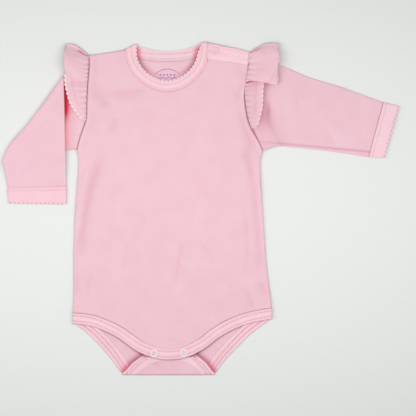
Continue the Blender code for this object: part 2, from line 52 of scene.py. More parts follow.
# a node's corners in millimetres, and the links between them
def corners(name):
    mesh = nodes[name].data
    points = np.zeros(len(mesh.vertices) * 3)
    mesh.vertices.foreach_get("co", points)
    links = np.zeros(len(mesh.edges) * 2, int)
    mesh.edges.foreach_get("vertices", links)
    return points.reshape(-1, 3) / mm, links.reshape(-1, 2)


def crossings(name, start, direction, low=-1.0, high=99.0):
    # where the node's edges cross a ray in plan, nearest first, as distances from its start
    points, links = corners(name)
    along = np.array(direction, float) / np.linalg.norm(direction)
    side = np.array([-along[1], along[0]])
    ahead = (points[:, :2] - start) @ along
    beside = (points[:, :2] - start) @ side
    a, b = links.T
    cut = (beside[a] < 0) != (beside[b] < 0)
    share = beside[a[cut]] / (beside[a[cut]] - beside[b[cut]])
    reach = ahead[a[cut]] + share * (ahead[b[cut]] - ahead[a[cut]])
    height = points[a[cut], 2] + share * (points[b[cut], 2] - points[a[cut], 2])
    return np.sort(reach[(height >= low) & (height <= high)])


def sideX(name, y, sign, low=-1.0, high=99.0):
    # x of a node's left (sign -1) or right (sign 1) edge at each y; a line that misses it takes the nearest
    y = np.atleast_1d(y)
    found = [crossings(name, (0, v), (1, 0), low, high) for v in y]
    met = [k for k, f in enumerate(found) if len(f)]
    return np.interp(np.arange(len(y)), met, [found[k][-1] if sign > 0 else found[k][0] for k in met])


def sideY(name, x, sign, low=-1.0, high=99.0):
    x = np.atleast_1d(x)
    found = [crossings(name, (v, 0), (0, 1), low, high) for v in x]
    met = [k for k, f in enumerate(found) if len(f)]
    return np.interp(np.arange(len(x)), met, [found[k][-1] if sign > 0 else found[k][0] for k in met])


def extreme(name, dx, dy):
    # the node's corner that lies furthest in a direction
    points, _ = corners(name)
    return points[np.argmax(points[:, 0] * dx + points[:, 1] * dy), :2]


def soften(values, width):
    # rounds the facets off a measured edge, and keeps its ends
    values = np.array(values, float)
    kernel = np.hanning(2 * width + 3)[1:-1]
    kernel /= kernel.sum()
    ahead = 2 * values[0] - values[width:0:-1]
    after = 2 * values[-1] - values[-2:-width - 2:-1]
    padded = np.concatenate([ahead, values, after])
    if values.ndim == 1:
        return np.convolve(padded, kernel, "valid")
    return np.stack([np.convolve(c, kernel, "valid") for c in padded.T], axis=-1)


def smooth(value):
    t = np.clip(value, 0.0, 1.0)
    return t * t * (3.0 - 2.0 * t)


def bell(away, width):
    return np.exp(-((away / width) ** 2))


def runAlong(path):
    # distance from a path's start to each of its points
    return np.concatenate([[0], np.cumsum(np.linalg.norm(np.diff(path, axis=0), axis=1))])


def runAcross(grid):
    # distance along each row of a grid from its first point
    steps = np.linalg.norm(np.diff(grid, axis=1), axis=2)
    return np.concatenate([np.zeros((len(grid), 1)), np.cumsum(steps, axis=1)], axis=1)


def spaced(path, count):
    # points evenly spaced along a path
    path = np.array(path, float)
    lengths = runAlong(path)
    at = np.linspace(0, 1, count) * lengths[-1]
    return np.stack([np.interp(at, lengths, column) for column in path.T], axis=-1)


def pathLength(path):
    return float(np.linalg.norm(np.diff(path, axis=0), axis=1).sum())


def curve(points, count):
    # a smooth curve through a few points
    points = np.array(points, float)
    far = np.vstack([2 * points[0] - points[1], points, 2 * points[-1] - points[-2]])
    t = np.linspace(0, 1, 24, endpoint=False)[:, None]
    dense = []
    for k in range(len(points) - 1):
        a, b, c, d = far[k:k + 4]
        bend = a - 2.5 * b + 2 * c - d / 2
        twist = 1.5 * (b - c) + (d - a) / 2
        dense.append(b + t * (c - a) / 2 + t**2 * bend + t**3 * twist)
    return spaced(np.vstack(dense + [points[-1:]]), count)


def leftOf(path):
    # unit vectors in plan, square to a path and to its left
    step = np.gradient(path[:, :2], axis=0)
    step /= np.linalg.norm(step, axis=1)[:, None]
    return np.stack([-step[:, 1], step[:, 0]], axis=-1)


# the lowest face of some nodes over a grid in plan, softened, and read between its points
class HeightMap:
    def __init__(self, names, blur, step=2.0):
        lows = [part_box(n)[0] for n in names]
        highs = [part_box(n)[1] for n in names]
        low = np.array([min(v.x for v in lows), min(v.y for v in lows)]) / mm - 6
        high = np.array([max(v.x for v in highs), max(v.y for v in highs)]) / mm + 6
        self.step = step
        self.xs = np.arange(low[0], high[0], step)
        self.ys = np.arange(low[1], high[1], step)
        trees = []
        for mesh in (nodes[n].data for n in names):
            faces = [p.vertices[:] for p in mesh.polygons]
            trees.append(BVHTree.FromPolygons([v.co for v in mesh.vertices], faces))
        z = np.full((len(self.ys), len(self.xs)), np.nan)
        for row, y in enumerate(self.ys):
            for column, x in enumerate(self.xs):
                start = Vector((x * mm, y * mm, -0.1))
                hits = [t.ray_cast(start, Vector((0, 0, 1)))[0] for t in trees]
                heights = [h.z / mm for h in hits if h is not None]
                if heights:
                    z[row, column] = min(heights)
        rows, columns = z.shape
        while np.isnan(z).any():  # outside the nodes the edge's height runs on
            wide = np.pad(z, 1, constant_values=np.nan)
            around = np.stack([wide[i:i + rows, j:j + columns] for i in range(3) for j in range(3)])
            known = ~np.isnan(around)
            mean = np.where(known, around, 0).sum(0) / np.maximum(known.sum(0), 1)
            z = np.where(np.isnan(z) & known.any(0), mean, z)
        reach = int(blur / step)
        self.z = soften(soften(z, reach).T, reach).T

    def __call__(self, x, y):
        u = np.clip((np.asarray(x) - self.xs[0]) / self.step, 0, len(self.xs) - 1.001)
        v = np.clip((np.asarray(y) - self.ys[0]) / self.step, 0, len(self.ys) - 1.001)
        i, j = u.astype(int), v.astype(int)
        u, v = u - i, v - j
        near = self.z[j, i] * (1 - u) + self.z[j, i + 1] * u
        far = self.z[j + 1, i] * (1 - u) + self.z[j + 1, i + 1] * u
        return near * (1 - v) + far * v


frontNodes = ["front_body", "leg_binding_front", "neckband_front", "shoulder_placket"]
frontUnder = HeightMap(frontNodes, 6.0)
print("measured the front layer")

# the soft creases: from, to, sideways bend, half width, height (a trough is below zero)
bodyCreases = [
    dict(start=(-73, 72), end=(-102, -66), bend=-8, width=6.2, height=-1.2),
    dict(start=(-86, 66), end=(-105, -40), bend=-5, width=4.0, height=0.9),
    dict(start=(90, 58), end=(104, -84), bend=3, width=4.0, height=-0.7),
    dict(start=(83, 68), end=(97, 32), bend=1, width=4.0, height=-0.9),
    dict(start=(97, 56), end=(109, -60), bend=4, width=3.4, height=0.8),
    dict(start=(74, 122), end=(92, 50), bend=5, width=7.0, height=-0.9),
    dict(start=(62, 128), end=(78, 60), bend=6, width=8.0, height=0.6),
    dict(start=(-82, 142), end=(-68, 112), bend=-3, width=6.0, height=-0.8),
    dict(start=(-64, 108), end=(-66, 84), bend=1, width=5.0, height=-0.6),
    dict(start=(-76, 134), end=(-20, 140), bend=-4, width=5.0, height=-0.7),
    dict(start=(-70, 124), end=(-14, 128), bend=-3, width=6.0, height=0.5),
    dict(start=(14, -34), end=(4, -94), bend=1, width=2.4, height=-0.55),
    dict(start=(-48, -34), end=(-54, -74), bend=1, width=2.2, height=-0.3),
    dict(start=(35, -36), end=(55, -68), bend=1, width=2.2, height=-0.3),
    dict(start=(85, 4), end=(90, -70), bend=1, width=2.3, height=-0.45),
    dict(start=(84, -86), end=(97, -118), bend=1, width=2.4, height=-0.6),
    dict(start=(102, -80), end=(109, -102), bend=1, width=3.0, height=-0.7),
    dict(start=(-107, -76), end=(-106, -102), bend=0, width=2.6, height=-0.5),
    dict(start=(-89, -70), end=(-97, -102), bend=1, width=2.2, height=-0.4),
    dict(start=(-30, 60), end=(-10, -20), bend=10, width=16.0, height=0.4),
    dict(start=(40, 70), end=(52, -10), bend=-8, width=16.0, height=0.4),
]


def creaseHeight(x, y, creases):
    height = np.zeros_like(np.asarray(x, float))
    for c in creases:
        start, end = np.array(c["start"], float), np.array(c["end"], float)
        length = np.linalg.norm(end - start)
        along = (end - start) / length
        share = ((x - start[0]) * along[0] + (y - start[1]) * along[1]) / length
        beside = (y - start[1]) * along[0] - (x - start[0]) * along[1]
        inside = np.clip(share, 0, 1)
        beside = beside - c["bend"] * 4 * inside * (1 - inside)
        ends = smooth(share / 0.3) * smooth((1 - share) / 0.3)
        height += c["height"] * ends * bell(beside, c["width"])
    return height


def ripple(x, y, size, seed):
    # slow uneven waves, so that no stretch of cloth is quite flat
    rng = np.random.default_rng(seed)
    total = np.zeros_like(np.asarray(x, float))
    for _ in range(9):
        angle, phase = rng.uniform(0, 2 * math.pi, 2)
        pitch = size * rng.uniform(0.7, 1.8)
        total += np.sin((x * math.cos(angle) + y * math.sin(angle)) * 2 * math.pi / pitch + phase)
    return total / 9


# the front layer: how much its creases rise, how far they may sink, half its thickness and its slack
frontLay = dict(relief=1.6, sink=-0.4, half=0.5, slack=0.25)


def frontZ(x, y):
    # middle of the front layer with its creases
    soft = frontLay["relief"] * creaseHeight(x, y, bodyCreases)
    lying = frontUnder(x, y) + np.maximum(soft, frontLay["sink"])
    return lying + frontLay["half"] + frontLay["slack"] * ripple(x, y, 46, 3)


def frontZUnder(x, y):
    return frontZ(x, y) - frontLay["half"]


def onTable(x, y):
    # a hair above the table, where the back layer lies
    return 0.02 + 0 * x


# an sRGB hex colour as the linear values a shader takes
def linear(hexColour):
    parts = [int(hexColour[k:k + 2], 16) / 255 for k in (1, 3, 5)]
    return tuple(p / 12.92 if p <= 0.04045 else ((p + 0.055) / 1.055) ** 2.4 for p in parts) + (1.0,)


def addNode(tree, kind, settings=None, links=None):
    node = tree.nodes.new(kind)
    for key, value in (settings or {}).items():
        if isinstance(key, int) or key in node.inputs:
            node.inputs[key].default_value = value
        else:
            setattr(node, key, value)
    for key, source in (links or {}).items():
        tree.links.new(source, node.inputs[key])
    return node


def newMaterial(name):
    material = bpy.data.materials.new(name)
    material.use_nodes = True
    tree = material.node_tree
    tree.nodes.clear()
    shader = addNode(tree, "ShaderNodeBsdfPrincipled")
    addNode(tree, "ShaderNodeOutputMaterial", links={"Surface": shader.outputs[0]})
    return material, tree, shader


def twoTone(tree, dark, light, share):
    # a colour that drifts between two tones
    tone = addNode(tree, "ShaderNodeMix", {"data_type": "RGBA"}, {"Factor": share})
    tone.inputs["A"].default_value = linear(dark)
    tone.inputs["B"].default_value = linear(light)
    return tone.outputs["Result"]


def mottled(name, dark, light, scale, detail):
    # a smooth material whose colour is slightly uneven
    material, tree, shader = newMaterial(name)
    place = addNode(tree, "ShaderNodeTexCoord")
    noise = {"Scale": scale, "Detail": detail}
    cloud = addNode(tree, "ShaderNodeTexNoise", noise, {"Vector": place.outputs["Object"]})
    tree.links.new(twoTone(tree, dark, light, cloud.outputs[0]), shader.inputs["Base Color"])
    return material, tree, shader, cloud


def jersey(name, look):
    # cotton interlock jersey: a matt knit with fine upright wales, a soft fuzz and a slight mottle in the dye
    material, tree, shader = newMaterial(name)
    place = addNode(tree, "ShaderNodeTexCoord")
    perMetre = (1 / (look["wale"] * mm), 1 / (look["course"] * mm), 300)
    wales = addNode(tree, "ShaderNodeMapping", {"Scale": perMetre}, {"Vector": place.outputs["UV"]})
    fine = {"Scale": 1.0, "Detail": 2.0, "Roughness": 0.6}
    knit = addNode(tree, "ShaderNodeTexNoise", fine, {"Vector": wales.outputs[0]})
    cloudy = {"Scale": 42.0, "Detail": 3.0, "Roughness": 0.55}
    mottle = addNode(tree, "ShaderNodeTexNoise", cloudy, {"Vector": place.outputs["Object"]})
    both = {0: knit.outputs[0], 2: mottle.outputs[0]}
    blend = addNode(tree, "ShaderNodeMath", {"operation": "MULTIPLY_ADD", 1: look["grain"]}, both)
    ends = {"From Min": 0.3 + look["grain"] * 0.3, "From Max": 0.7 + look["grain"] * 0.7}
    spread = addNode(tree, "ShaderNodeMapRange", ends, {"Value": blend.outputs[0]})
    shade = twoTone(tree, look["dark"], look["light"], spread.outputs[0])
    # painted shade: the depth attribute mixes the colour towards a darker shade colour, on the deep side of
    # each fold and seam, where pink cloth lights pink cloth
    depth = addNode(tree, "ShaderNodeAttribute", {"attribute_name": "depth"})
    sources = {"Factor": depth.outputs["Fac"], "A": shade}
    shadeColour = addNode(tree, "ShaderNodeMix", {"data_type": "RGBA"}, sources)
    shadeColour.inputs["B"].default_value = linear(look["shadeColour"])
    tree.links.new(shadeColour.outputs["Result"], shader.inputs["Base Color"])
    relief = {"Strength": look["bump"], "Distance": 0.0004}
    bump = addNode(tree, "ShaderNodeBump", relief, {"Height": knit.outputs[0]})
    tree.links.new(bump.outputs[0], shader.inputs["Normal"])
    shader.inputs["Roughness"].default_value = 0.92
    shader.inputs["Sheen Weight"].default_value = 0.25
    shader.inputs["Sheen Roughness"].default_value = 0.5
    shader.inputs["Specular IOR Level"].default_value = 0.25
    shader.inputs["Subsurface Weight"].default_value = 0.3  # light comes through one layer of jersey
    shader.inputs["Subsurface Radius"].default_value = (0.0026, 0.0009, 0.0011)
    shader.inputs["Subsurface Scale"].default_value = 1.0
    return material


# painted shade: the body's jersey is painted dusky in its folds; inside the sleeves the painted shade is red,
# where light passes two layers and comes out red
bodyKnit = dict(light="#E9C1CA", dark="#E5B9C3", shadeColour="#B05A70", wale=1.7, course=2.6, grain=0.5, bump=0.35)
bodyJersey = jersey("cotton_jersey", bodyKnit)
sleeveJersey = jersey("cotton_jersey_sleeve", dict(bodyKnit, shadeColour="#D0183A"))
# the bindings are doubled, so they are paler and hold a crisper knit
ribKnit = dict(light="#F1CDD5", dark="#ECC4CD", shadeColour="#CE4562", wale=1.5, course=2.4, grain=0.5, bump=0.4)
ribJersey = jersey("ribbed_binding", ribKnit)
# sewing thread and edging cord: paler than the cloth, with a tight fine twist
twist = dict(light="#F7DDE2", dark="#F2CFD6", shadeColour="#D24A66", wale=0.6, course=0.6, grain=0.3, bump=0.2)
thread = jersey("polyester_thread", twist)
cord = dict(twist, light="#F8E0E5", wale=0.5, course=0.5, bump=0.4)
edging = jersey("picot_edging", cord)
cuffEdging = jersey("picot_edging_cuff", dict(cord, light="#F5D3DB", dark="#F1CAD3"))


# the flat width, length and area of each piece of cloth
cuts = {}


def measureCut(name, flat, layers):
    # in metres, from a grid of cloth laid out by its UV map
    a, b = flat[1:, 1:] - flat[:-1, :-1], flat[1:, :-1] - flat[:-1, 1:]
    area = float(np.abs(a[..., 0] * b[..., 1] - a[..., 1] * b[..., 0]).sum()) / 2 / layers
    width, length = np.ptp(flat.reshape(-1, 2), axis=0)
    cuts[name] = (float(width), float(length) / layers, area)


def placePiece(name, mesh, material):
    mesh.materials.append(material)
    piece = bpy.data.objects.new(name, mesh)
    bpy.context.scene.collection.objects.link(piece)
    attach(piece, "root")
    return piece


def addWall(piece, name, wall):
    solid = piece.modifiers.new(name, "SOLIDIFY")
    solid.thickness = wall * mm
    solid.offset = 0.0


def gridMesh(name, points, material, wall=0.0, closed=False, lengths=None, depth=None):
    # a grid of points, row by row, as a smooth mesh with a UV map in metres and a wall of cloth
    rows, columns = points.shape[:2]
    index = np.arange(rows * columns).reshape(rows, columns)
    last = np.roll(index, -1, axis=1) if closed else index[:, 1:]
    first = index if closed else index[:, :-1]
    faces = np.stack([first[:-1], last[:-1], last[1:], first[1:]], axis=-1).reshape(-1, 4)
    mesh = bpy.data.meshes.new(name)
    mesh.from_pydata((points.reshape(-1, 3) * mm).tolist(), [], faces.tolist())
    flat = points[..., :2] * mm if lengths is None else lengths
    measureCut(name, flat, 2 if closed and not wall else 1)
    layer = mesh.uv_layers.new(name="cloth")
    layer.data.foreach_set("uv", flat.reshape(-1, 2)[faces.reshape(-1)].astype(np.float32).reshape(-1))
    # the depth attribute carries painted shade, which the jersey materials mix into the colour
    values = np.broadcast_to(0.0 if depth is None else depth, (rows, columns)).reshape(-1)
    attribute = mesh.attributes.new("depth", "FLOAT", "POINT")
    attribute.data.foreach_set("value", values.astype(np.float32))
    mesh.shade_smooth()
    piece = placePiece(name, mesh, material)
    if wall:
        addWall(piece, "wall", wall)
    return piece


def panel(rowsY, left, right, top, bottom, columns, reach=110.0):
    # rows straight across between the side edges, bent near the ends into the top and bottom edges
    shares = np.linspace(0, 1, columns)
    grid = np.zeros((len(rowsY), columns, 2))
    grid[..., 0] = left[:, None] + (right - left)[:, None] * shares
    grid[..., 1] = rowsY[:, None]
    for edge, at in ((bottom, 0), (top, -1)):
        if edge is not None:
            share = smooth(1 - np.abs(rowsY - rowsY[at]) / reach)
            grid = grid + share[:, None, None] * (edge - grid[at])
    return grid


def neckArc(name, sign, count=121):
    # the neckband's outer (sign 1) or free (sign -1) edge, left to right, round the neckline
    low, high = (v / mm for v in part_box(name))
    centre = np.array([(low.x + high.x) / 2, neckMiddleY])
    angles = np.linspace(math.pi * 0.97, math.pi * 2.03, count)
    points = []
    for a in angles:
        found = crossings(name, centre, (math.cos(a), math.sin(a)))
        found = found[found > 0]
        points.append(centre + np.array([math.cos(a), math.sin(a)]) * (found[-1] if sign > 0 else found[0]))
    return soften(np.array(points), 4)


# how far the lie of the cloth moves each side of the body: height, left side, right side
sideDraw = np.array((
    (-118, 0.0, 0.0),
    (-108, 0.2, -1.0),
    (-79, -0.8, -1.5),
    (-45, -1.6, -1.35),
    (-11, -1.3, -1.4),
    (14, -0.3, -2.2),
    (39, 1.2, -3.0),
    (55, 2.5, -3.6),
    (62, 1.4, -1.6),
    (66, 0.0, 0.0),
))


def drawn(y, sign):
    return np.interp(y, sideDraw[:, 0], sideDraw[:, 1 if sign < 0 else 2], left=0, right=0)


# the front panel, from the shoulders to the hem; beside the armholes it reaches a little under the seam
frontPanel = dict(rows=230, columns=150, wall=0.9, under=0.4, armpit=64)
armTopLeft, armTopRight = extreme("front_body", -1, 1.2), extreme("front_body", 1, 1.2)
hemLeft, hemRight = extreme("front_body", -1, -0.2), extreme("front_body", 1, -0.2)
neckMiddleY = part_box("neckband_front")[1].y / mm - 13
neckSeam, neckFree = neckArc("neckband_front", 1), neckArc("neckband_front", -1)
rowsY = np.linspace(hemLeft[1] + 2, armTopLeft[1], frontPanel["rows"])
leftEdge = soften(sideX("front_body", np.clip(rowsY, hemLeft[1] + 1, armTopLeft[1] - 0.5), -1), 5)
rightEdge = soften(sideX("front_body", np.clip(rowsY, hemRight[1] + 6, armTopRight[1] - 0.5), 1), 5)
under = frontPanel["under"] * smooth((rowsY - frontPanel["armpit"]) / 4)
leftEdge = leftEdge + drawn(rowsY, -1) - under
rightEdge = rightEdge + drawn(rowsY, 1) + under
strapTop = np.array([neckSeam[0, 0] - 0.4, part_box("front_body")[1].y / mm - 0.3])
strapLeft = np.linspace(armTopLeft, strapTop, 20)
placketX = np.linspace(neckSeam[-1, 0] + 0.4, armTopRight[0] - 0.3, 20)
placketY = soften(sideY("shoulder_placket", placketX + 0.5, -1), 2) + 0.5
strapRight = np.column_stack([placketX, placketY])
neckline = neckSeam[(neckSeam[:, 1] < strapRight[0, 1]) | (neckSeam[:, 0] < 0)]
topEdge = spaced(np.vstack([strapLeft, neckline[1:-1], strapRight]), frontPanel["columns"])
hemX = np.linspace(hemLeft[0] + 0.2, hemRight[0] - 0.2, frontPanel["columns"])
bottomEdge = np.column_stack([hemX, soften(sideY("front_body", hemX, -1), 4)])
bottomEdge = spaced(bottomEdge, frontPanel["columns"])
plan = panel(rowsY, leftEdge, rightEdge, topEdge, bottomEdge, frontPanel["columns"])
x, y = plan[..., 0], plan[..., 1]
fromArm = np.minimum(x - leftEdge[:, None], rightEdge[:, None] - x)
besideArm = smooth((y - 66) / 8)
wobble = 0.8 + 0.4 * np.sin(y / 6.3) * np.sin(y / 2.9)
# a puff beside each armhole seam, and a shallow valley beyond it
seamRelief = 0.45 * bell(fromArm - 2.6, 1.5) - 0.5 * bell(fromArm - 8, 3.4)
z = frontZ(x, y) + besideArm * wobble * seamRelief
shade = 0.16 * np.clip(-creaseHeight(x, y, bodyCreases), 0, 1.2)
shade = shade + besideArm * (0.45 * bell(fromArm, 0.8) + 0.06 * wobble * bell(fromArm - 8, 3.4))
shade = np.clip(shade, 0, 1)
front = gridMesh("front_panel", np.dstack([plan, z]), bodyJersey, frontPanel["wall"], depth=shade)
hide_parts("front_body")
print("front panel")


def nearest(path, x, y):
    # distance in plan to a path, and how far along the path that is
    p = np.stack([np.ravel(x), np.ravel(y)], axis=-1)
    best = np.full(len(p), 1e9)
    where = np.zeros(len(p))
    run = 0.0
    for a, b in zip(path[:-1, :2], path[1:, :2]):
        step = b - a
        length = max(float(np.linalg.norm(step)), 1e-6)
        t = np.clip(((p - a) @ step) / length**2, 0, 1)
        d = np.linalg.norm(p - a - t[:, None] * step, axis=1)
        closer = d < best
        best[closer], where[closer] = d[closer], run + t[closer] * length
        run += length
    return best.reshape(np.shape(x)), where.reshape(np.shape(x))


def ribbon(name, outer, inner, under, look, fold=None, flap=None):
    # a band of doubled cloth between two edges, rounded along both, with its rows of stitches sunk in
    steps = 17
    meets = look.get("meets", 0.42)  # how far it laps the cloth at its seam
    width = np.linalg.norm(inner - outer, axis=1)
    reach = (inner - outer) / width[:, None] * meets
    outer, inner = (outer - reach, inner) if look.get("seamOuter") else (outer, inner + reach)
    width = width + meets
    turn = (1 - np.cos(np.linspace(0, math.pi, steps))) / 2
    shares = 0.5 * turn + 0.5 * np.linspace(0, 1, steps)
    plan = outer[:, None, :] * (1 - shares)[:, None] + inner[:, None, :] * shares[:, None]
    base = under(plan[..., 0], plan[..., 1])
    across = width[:, None] * shares
    inside = width[:, None] * np.minimum(shares, 1 - shares)
    rounded = np.sqrt(1 - (1 - np.clip(inside / look["round"], 0, 1)) ** 2)
    run = runAlong((outer + inner) / 2)
    wave = np.sin(2 * math.pi * run / look.get("pitch", 4.4) + 1.3 * np.sin(run / 9))[:, None]
    relief = np.zeros_like(base)
    rowShade = np.zeros_like(base)
    for at, sunk in look["rows"]:
        away = across - at
        relief -= sunk * bell(away, 0.8)
        relief += 0.10 * wave * bell(np.abs(away) - 1.8, 1.3)
        rowShade += look["rowShade"] * bell(away, 0.7)
    top = base + look["thick"] * rounded + relief * rounded
    bottom = base.copy()
    if flap is not None:  # on the folded flap the other face is the one that shows
        bottom = bottom - flap[:, None] * (relief * rounded - 0.5 * (1 - rounded))
    points = np.concatenate([np.dstack([plan, top]), np.dstack([plan, bottom])[:, ::-1]], axis=1)
    around = np.concatenate([shares, 1 + shares])[None] * width[:, None]
    lengths = np.dstack([np.broadcast_to(run[:, None], around.shape), around]) * mm
    fromSeam = across if look.get("seamOuter") else width[:, None] * (1 - shares)
    # painted shade: darker along the sunk rows of stitches and along the seam edge
    shade = rowShade + look["seam"] * bell(fromSeam, 0.9)
    depth = np.concatenate([shade, shade[:, ::-1]], axis=1)
    # painted shade from a shade function, such as the neck opening's or the folded flap's gaps
    if "shadeTint" in look:
        depth[:, :steps] += look["shadeTint"](plan[..., 0], plan[..., 1])
    if fold is not None:
        points = fold(points)
    depth = np.clip(depth, 0, 1)
    piece = gridMesh(name, points, look["material"], closed=True, lengths=lengths, depth=depth)
    closeEnds(piece, points.shape[1])

    def row(at, lift, other=False):
        # the path of a row of stitches, this far from the outer edge, on the upper or the other face
        part = points[:, steps:][:, ::-1] if other else points[:, :steps]
        axes = [[np.interp(s, shares, v) for s, v in zip(at / width, part[..., k])] for k in range(3)]
        path = np.stack(axes, axis=-1)
        path[:, 2] += lift
        return path

    return piece, row


def closeEnds(piece, count):
    # caps both ends of a closed strip
    mesh = piece.data
    total = len(mesh.vertices)
    work = bmesh.new()
    work.from_mesh(mesh)
    work.verts.ensure_lookup_table()
    for ring in (range(count - 1, -1, -1), range(total - count, total)):
        face = work.faces.new([work.verts[k] for k in ring])
        face.smooth = False
    work.to_mesh(mesh)
    work.free()


def sewn(name, paths, look):
    # rows of lockstitch: one small spindle of thread for each stitch, all in one piece
    ring = np.linspace(0, 2 * math.pi, 6, endpoint=False)
    profile = ((-0.5, 0.35), (-0.28, 1.0), (0.28, 1.0), (0.5, 0.35))
    half = look["pitch"] / 2
    points, faces = [], []
    for path in paths:
        total = pathLength(path)
        count = int(total / look["pitch"])
        middles = (np.arange(count) + 0.5) * look["pitch"] + (total - count * look["pitch"]) / 2
        lengths = runAlong(path)
        for middle in middles:
            ends = [np.array([np.interp(middle + k, lengths, c) for c in path.T]) for k in (-half, half)]
            along = ends[1] - ends[0]
            along /= max(np.linalg.norm(along), 1e-6)
            side = np.cross(along, (0, 0, 1.0))
            side /= max(np.linalg.norm(side), 1e-6)
            up = np.cross(side, along)
            centre = (ends[0] + ends[1]) / 2
            first = len(points)
            for t, wide in profile:
                for a in ring:
                    spoke = side * math.cos(a) + up * math.sin(a) * 0.8
                    points.append(centre + along * t * look["length"] + spoke * look["radius"] * wide)
            for r in range(3):
                for k in range(6):
                    a, b = first + r * 6 + k, first + r * 6 + (k + 1) % 6
                    faces.append((a, b, b + 6, a + 6))
            faces.append(tuple(first + k for k in range(5, -1, -1)))
            faces.append(tuple(first + 18 + k for k in range(6)))
    mesh = bpy.data.meshes.new(name)
    mesh.from_pydata([tuple(p * mm) for p in points], [], faces)
    mesh.shade_smooth()
    return placePiece(name, mesh, look["material"])


# the edging's section: how far out, and how high
picotSection = (
    (-1.0, 0.0), (-0.9, 0.35), (0.0, 0.45), (0.45, 0.35), (0.8, 0.55),
    (1.0, 0.3), (1.0, -0.3), (0.8, -0.5), (0.4, -0.3), (-0.9, -0.35),
)


def picot(name, path, out, look):
    # a scalloped edging: a pale corded shell stitch that stands out from an edge, with painted shade between
    # its scallops
    loops = max(2, round(pathLength(path) / look["pitch"]))
    count = loops * 8 + 1
    line = spaced(path, count)
    if out.shape[1] == 2:
        out = np.column_stack([out, np.zeros(len(out))])
    push = spaced(out, count)
    push /= np.linalg.norm(push, axis=1)[:, None]
    along = np.gradient(line, axis=0)
    up = np.cross(along, push)
    up *= np.where(up[:, 2] < 0, -1, 1)[:, None] / np.linalg.norm(up, axis=1)[:, None]
    phase = np.linspace(0, loops * math.pi, count)
    arch = np.abs(np.sin(phase)) ** 0.6
    reach = 0.35 + look["reach"] * arch
    rings = []
    for across, rise in picotSection:
        off = across * reach if across > 0 else np.full(count, across)
        lift = rise * look["radius"] / 0.45 * (0.75 + 0.35 * arch)
        rings.append(line + push * off[:, None] + up * lift[:, None])
    points = np.stack(rings, axis=1)
    # painted shade between the scallops, where the gaps between loops lie in shade
    gapShade = look["gapShade"] * (1 - arch)[:, None] * np.ones(len(picotSection))
    piece = gridMesh(name, points, look["material"], closed=True, depth=gapShade)
    closeEnds(piece, len(picotSection))


stitchLook = dict(pitch=2.6, length=2.1, radius=0.22, material=thread)
picotLook = dict(pitch=5.4, reach=1.7, radius=0.5, gapShade=0.3, material=edging)

# the neckband, front and back halves, each a rib folded over the neck edge
neckband = dict(
    thick=1.7, round=1.3, rows=[(2.8, 0.42), (8.6, 0.42)],
    material=ribJersey, seam=0.55, seamOuter=True, rowShade=0.3,
)
frontPicot = dict(picotLook, reach=1.3, pitch=4.6, material=cuffEdging)
frontEnds = (
    (extreme("neckband_front", -1, 0.3), extreme("neckband_front", -0.2, 1)),
    (extreme("neckband_front", 1, 0.4), extreme("neckband_front", 0, 1)),
)
outer = spaced(np.vstack([frontEnds[0][0], neckSeam, frontEnds[1][0]]), 170)
inner = spaced(np.vstack([frontEnds[0][1], neckFree, frontEnds[1][1]]), 170)
frontBand, frontRow = ribbon("neckband_front_shell", outer, inner, frontZUnder, neckband)
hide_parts("neckband_front")
sewn("neckband_front_stitches", [frontRow(2.8, 0.05), frontRow(8.6, 0.05)], stitchLook)
freeEdge = np.column_stack([inner, frontZUnder(inner[:, 0], inner[:, 1]) + 0.7])
picot("neckband_front_edging", freeEdge, leftOf(inner), frontPicot)


def neckShade(x, y):
    # light reaches the back only through the neck, and reddens between the two layers
    away, _ = nearest(neckFree[::3], x, y)
    return 0.62 * smooth((y - 142) / 22) * np.exp(-((away / 6.2) ** 4)) + 0.16 * bell(away, 1.8)


low, high = (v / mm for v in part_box("neckband_back"))
backX = np.linspace(low.x + 0.6, high.x - 0.6, 120)
backSeam = np.column_stack([backX, soften(sideY("neckband_back", backX, -1), 4)])
backFreeX = np.linspace(backX[0] + 11.5, backX[-1] - 6.5, 120)
backFree = np.column_stack([backFreeX, soften(sideY("neckband_back", backFreeX, 1), 4)])
outer, inner = spaced(backSeam, 140), spaced(backFree, 140)
backNeckband = dict(neckband, thick=1.25, seam=0.1, shadeTint=neckShade)
backPicot = dict(picotLook, reach=0.2, gapShade=0.0, material=cuffEdging)
backBand, backRow = ribbon("neckband_back_shell", outer, inner, onTable, backNeckband)
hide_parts("neckband_back")
sewn("neckband_back_stitches", [backRow(2.8, 0.05), backRow(8.2, 0.05)], stitchLook)
freeEdge = np.column_stack([inner, np.full(len(inner), 0.8)])
picot("neckband_back_edging", freeEdge, leftOf(inner), backPicot)
print("neckband")


def allowance(name, path, low, high, count=120):
    # the overlocked allowance inside a seam, which closes it from below
    path = spaced(path, count)
    side = leftOf(path)
    plan = path[:, None, :2] + side[:, None] * np.linspace(low, high, 7)[None, :, None]
    points = np.dstack([plan, frontZ(plan[..., 0], plan[..., 1]) - 0.36])
    # painted shade: the allowance is coloured 0.6 of the way to the shade colour, so the groove of the seam
    # reads pink-red
    gridMesh(name, points, bodyJersey, 0.2, depth=np.full(plan.shape[:2], 0.6))


neckPath = np.vstack([neckSeam[:-1], frontEnds[1][0] - (0, 1.2)])
allowance("neck_allowance", neckPath, -1.8, 1.8)

# the shoulder placket, a doubled band along the right shoulder
placket = dict(
    thick=1.6, round=1.2, rows=[(3.0, 0.2), (9.6, 0.3)], material=ribJersey, seam=0.22, rowShade=0.16
)
low, high = (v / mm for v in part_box("shoulder_placket"))
upperX = np.linspace(low.x - 2.0, high.x - 0.2, 70)
lowerX = upperX - 0.015 * (upperX - upperX[0])
upper = np.column_stack([upperX, soften(sideY("shoulder_placket", upperX, 1), 3)])
lower = np.column_stack([lowerX, soften(sideY("shoulder_placket", upperX - 0.9, -1), 3)])
placketShell, placketRow = ribbon("shoulder_placket_shell", upper, lower, frontZUnder, placket)
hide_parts("shoulder_placket")
sewn("shoulder_placket_stitches", [placketRow(9.6, 0.05)], stitchLook)
print("shoulder placket")

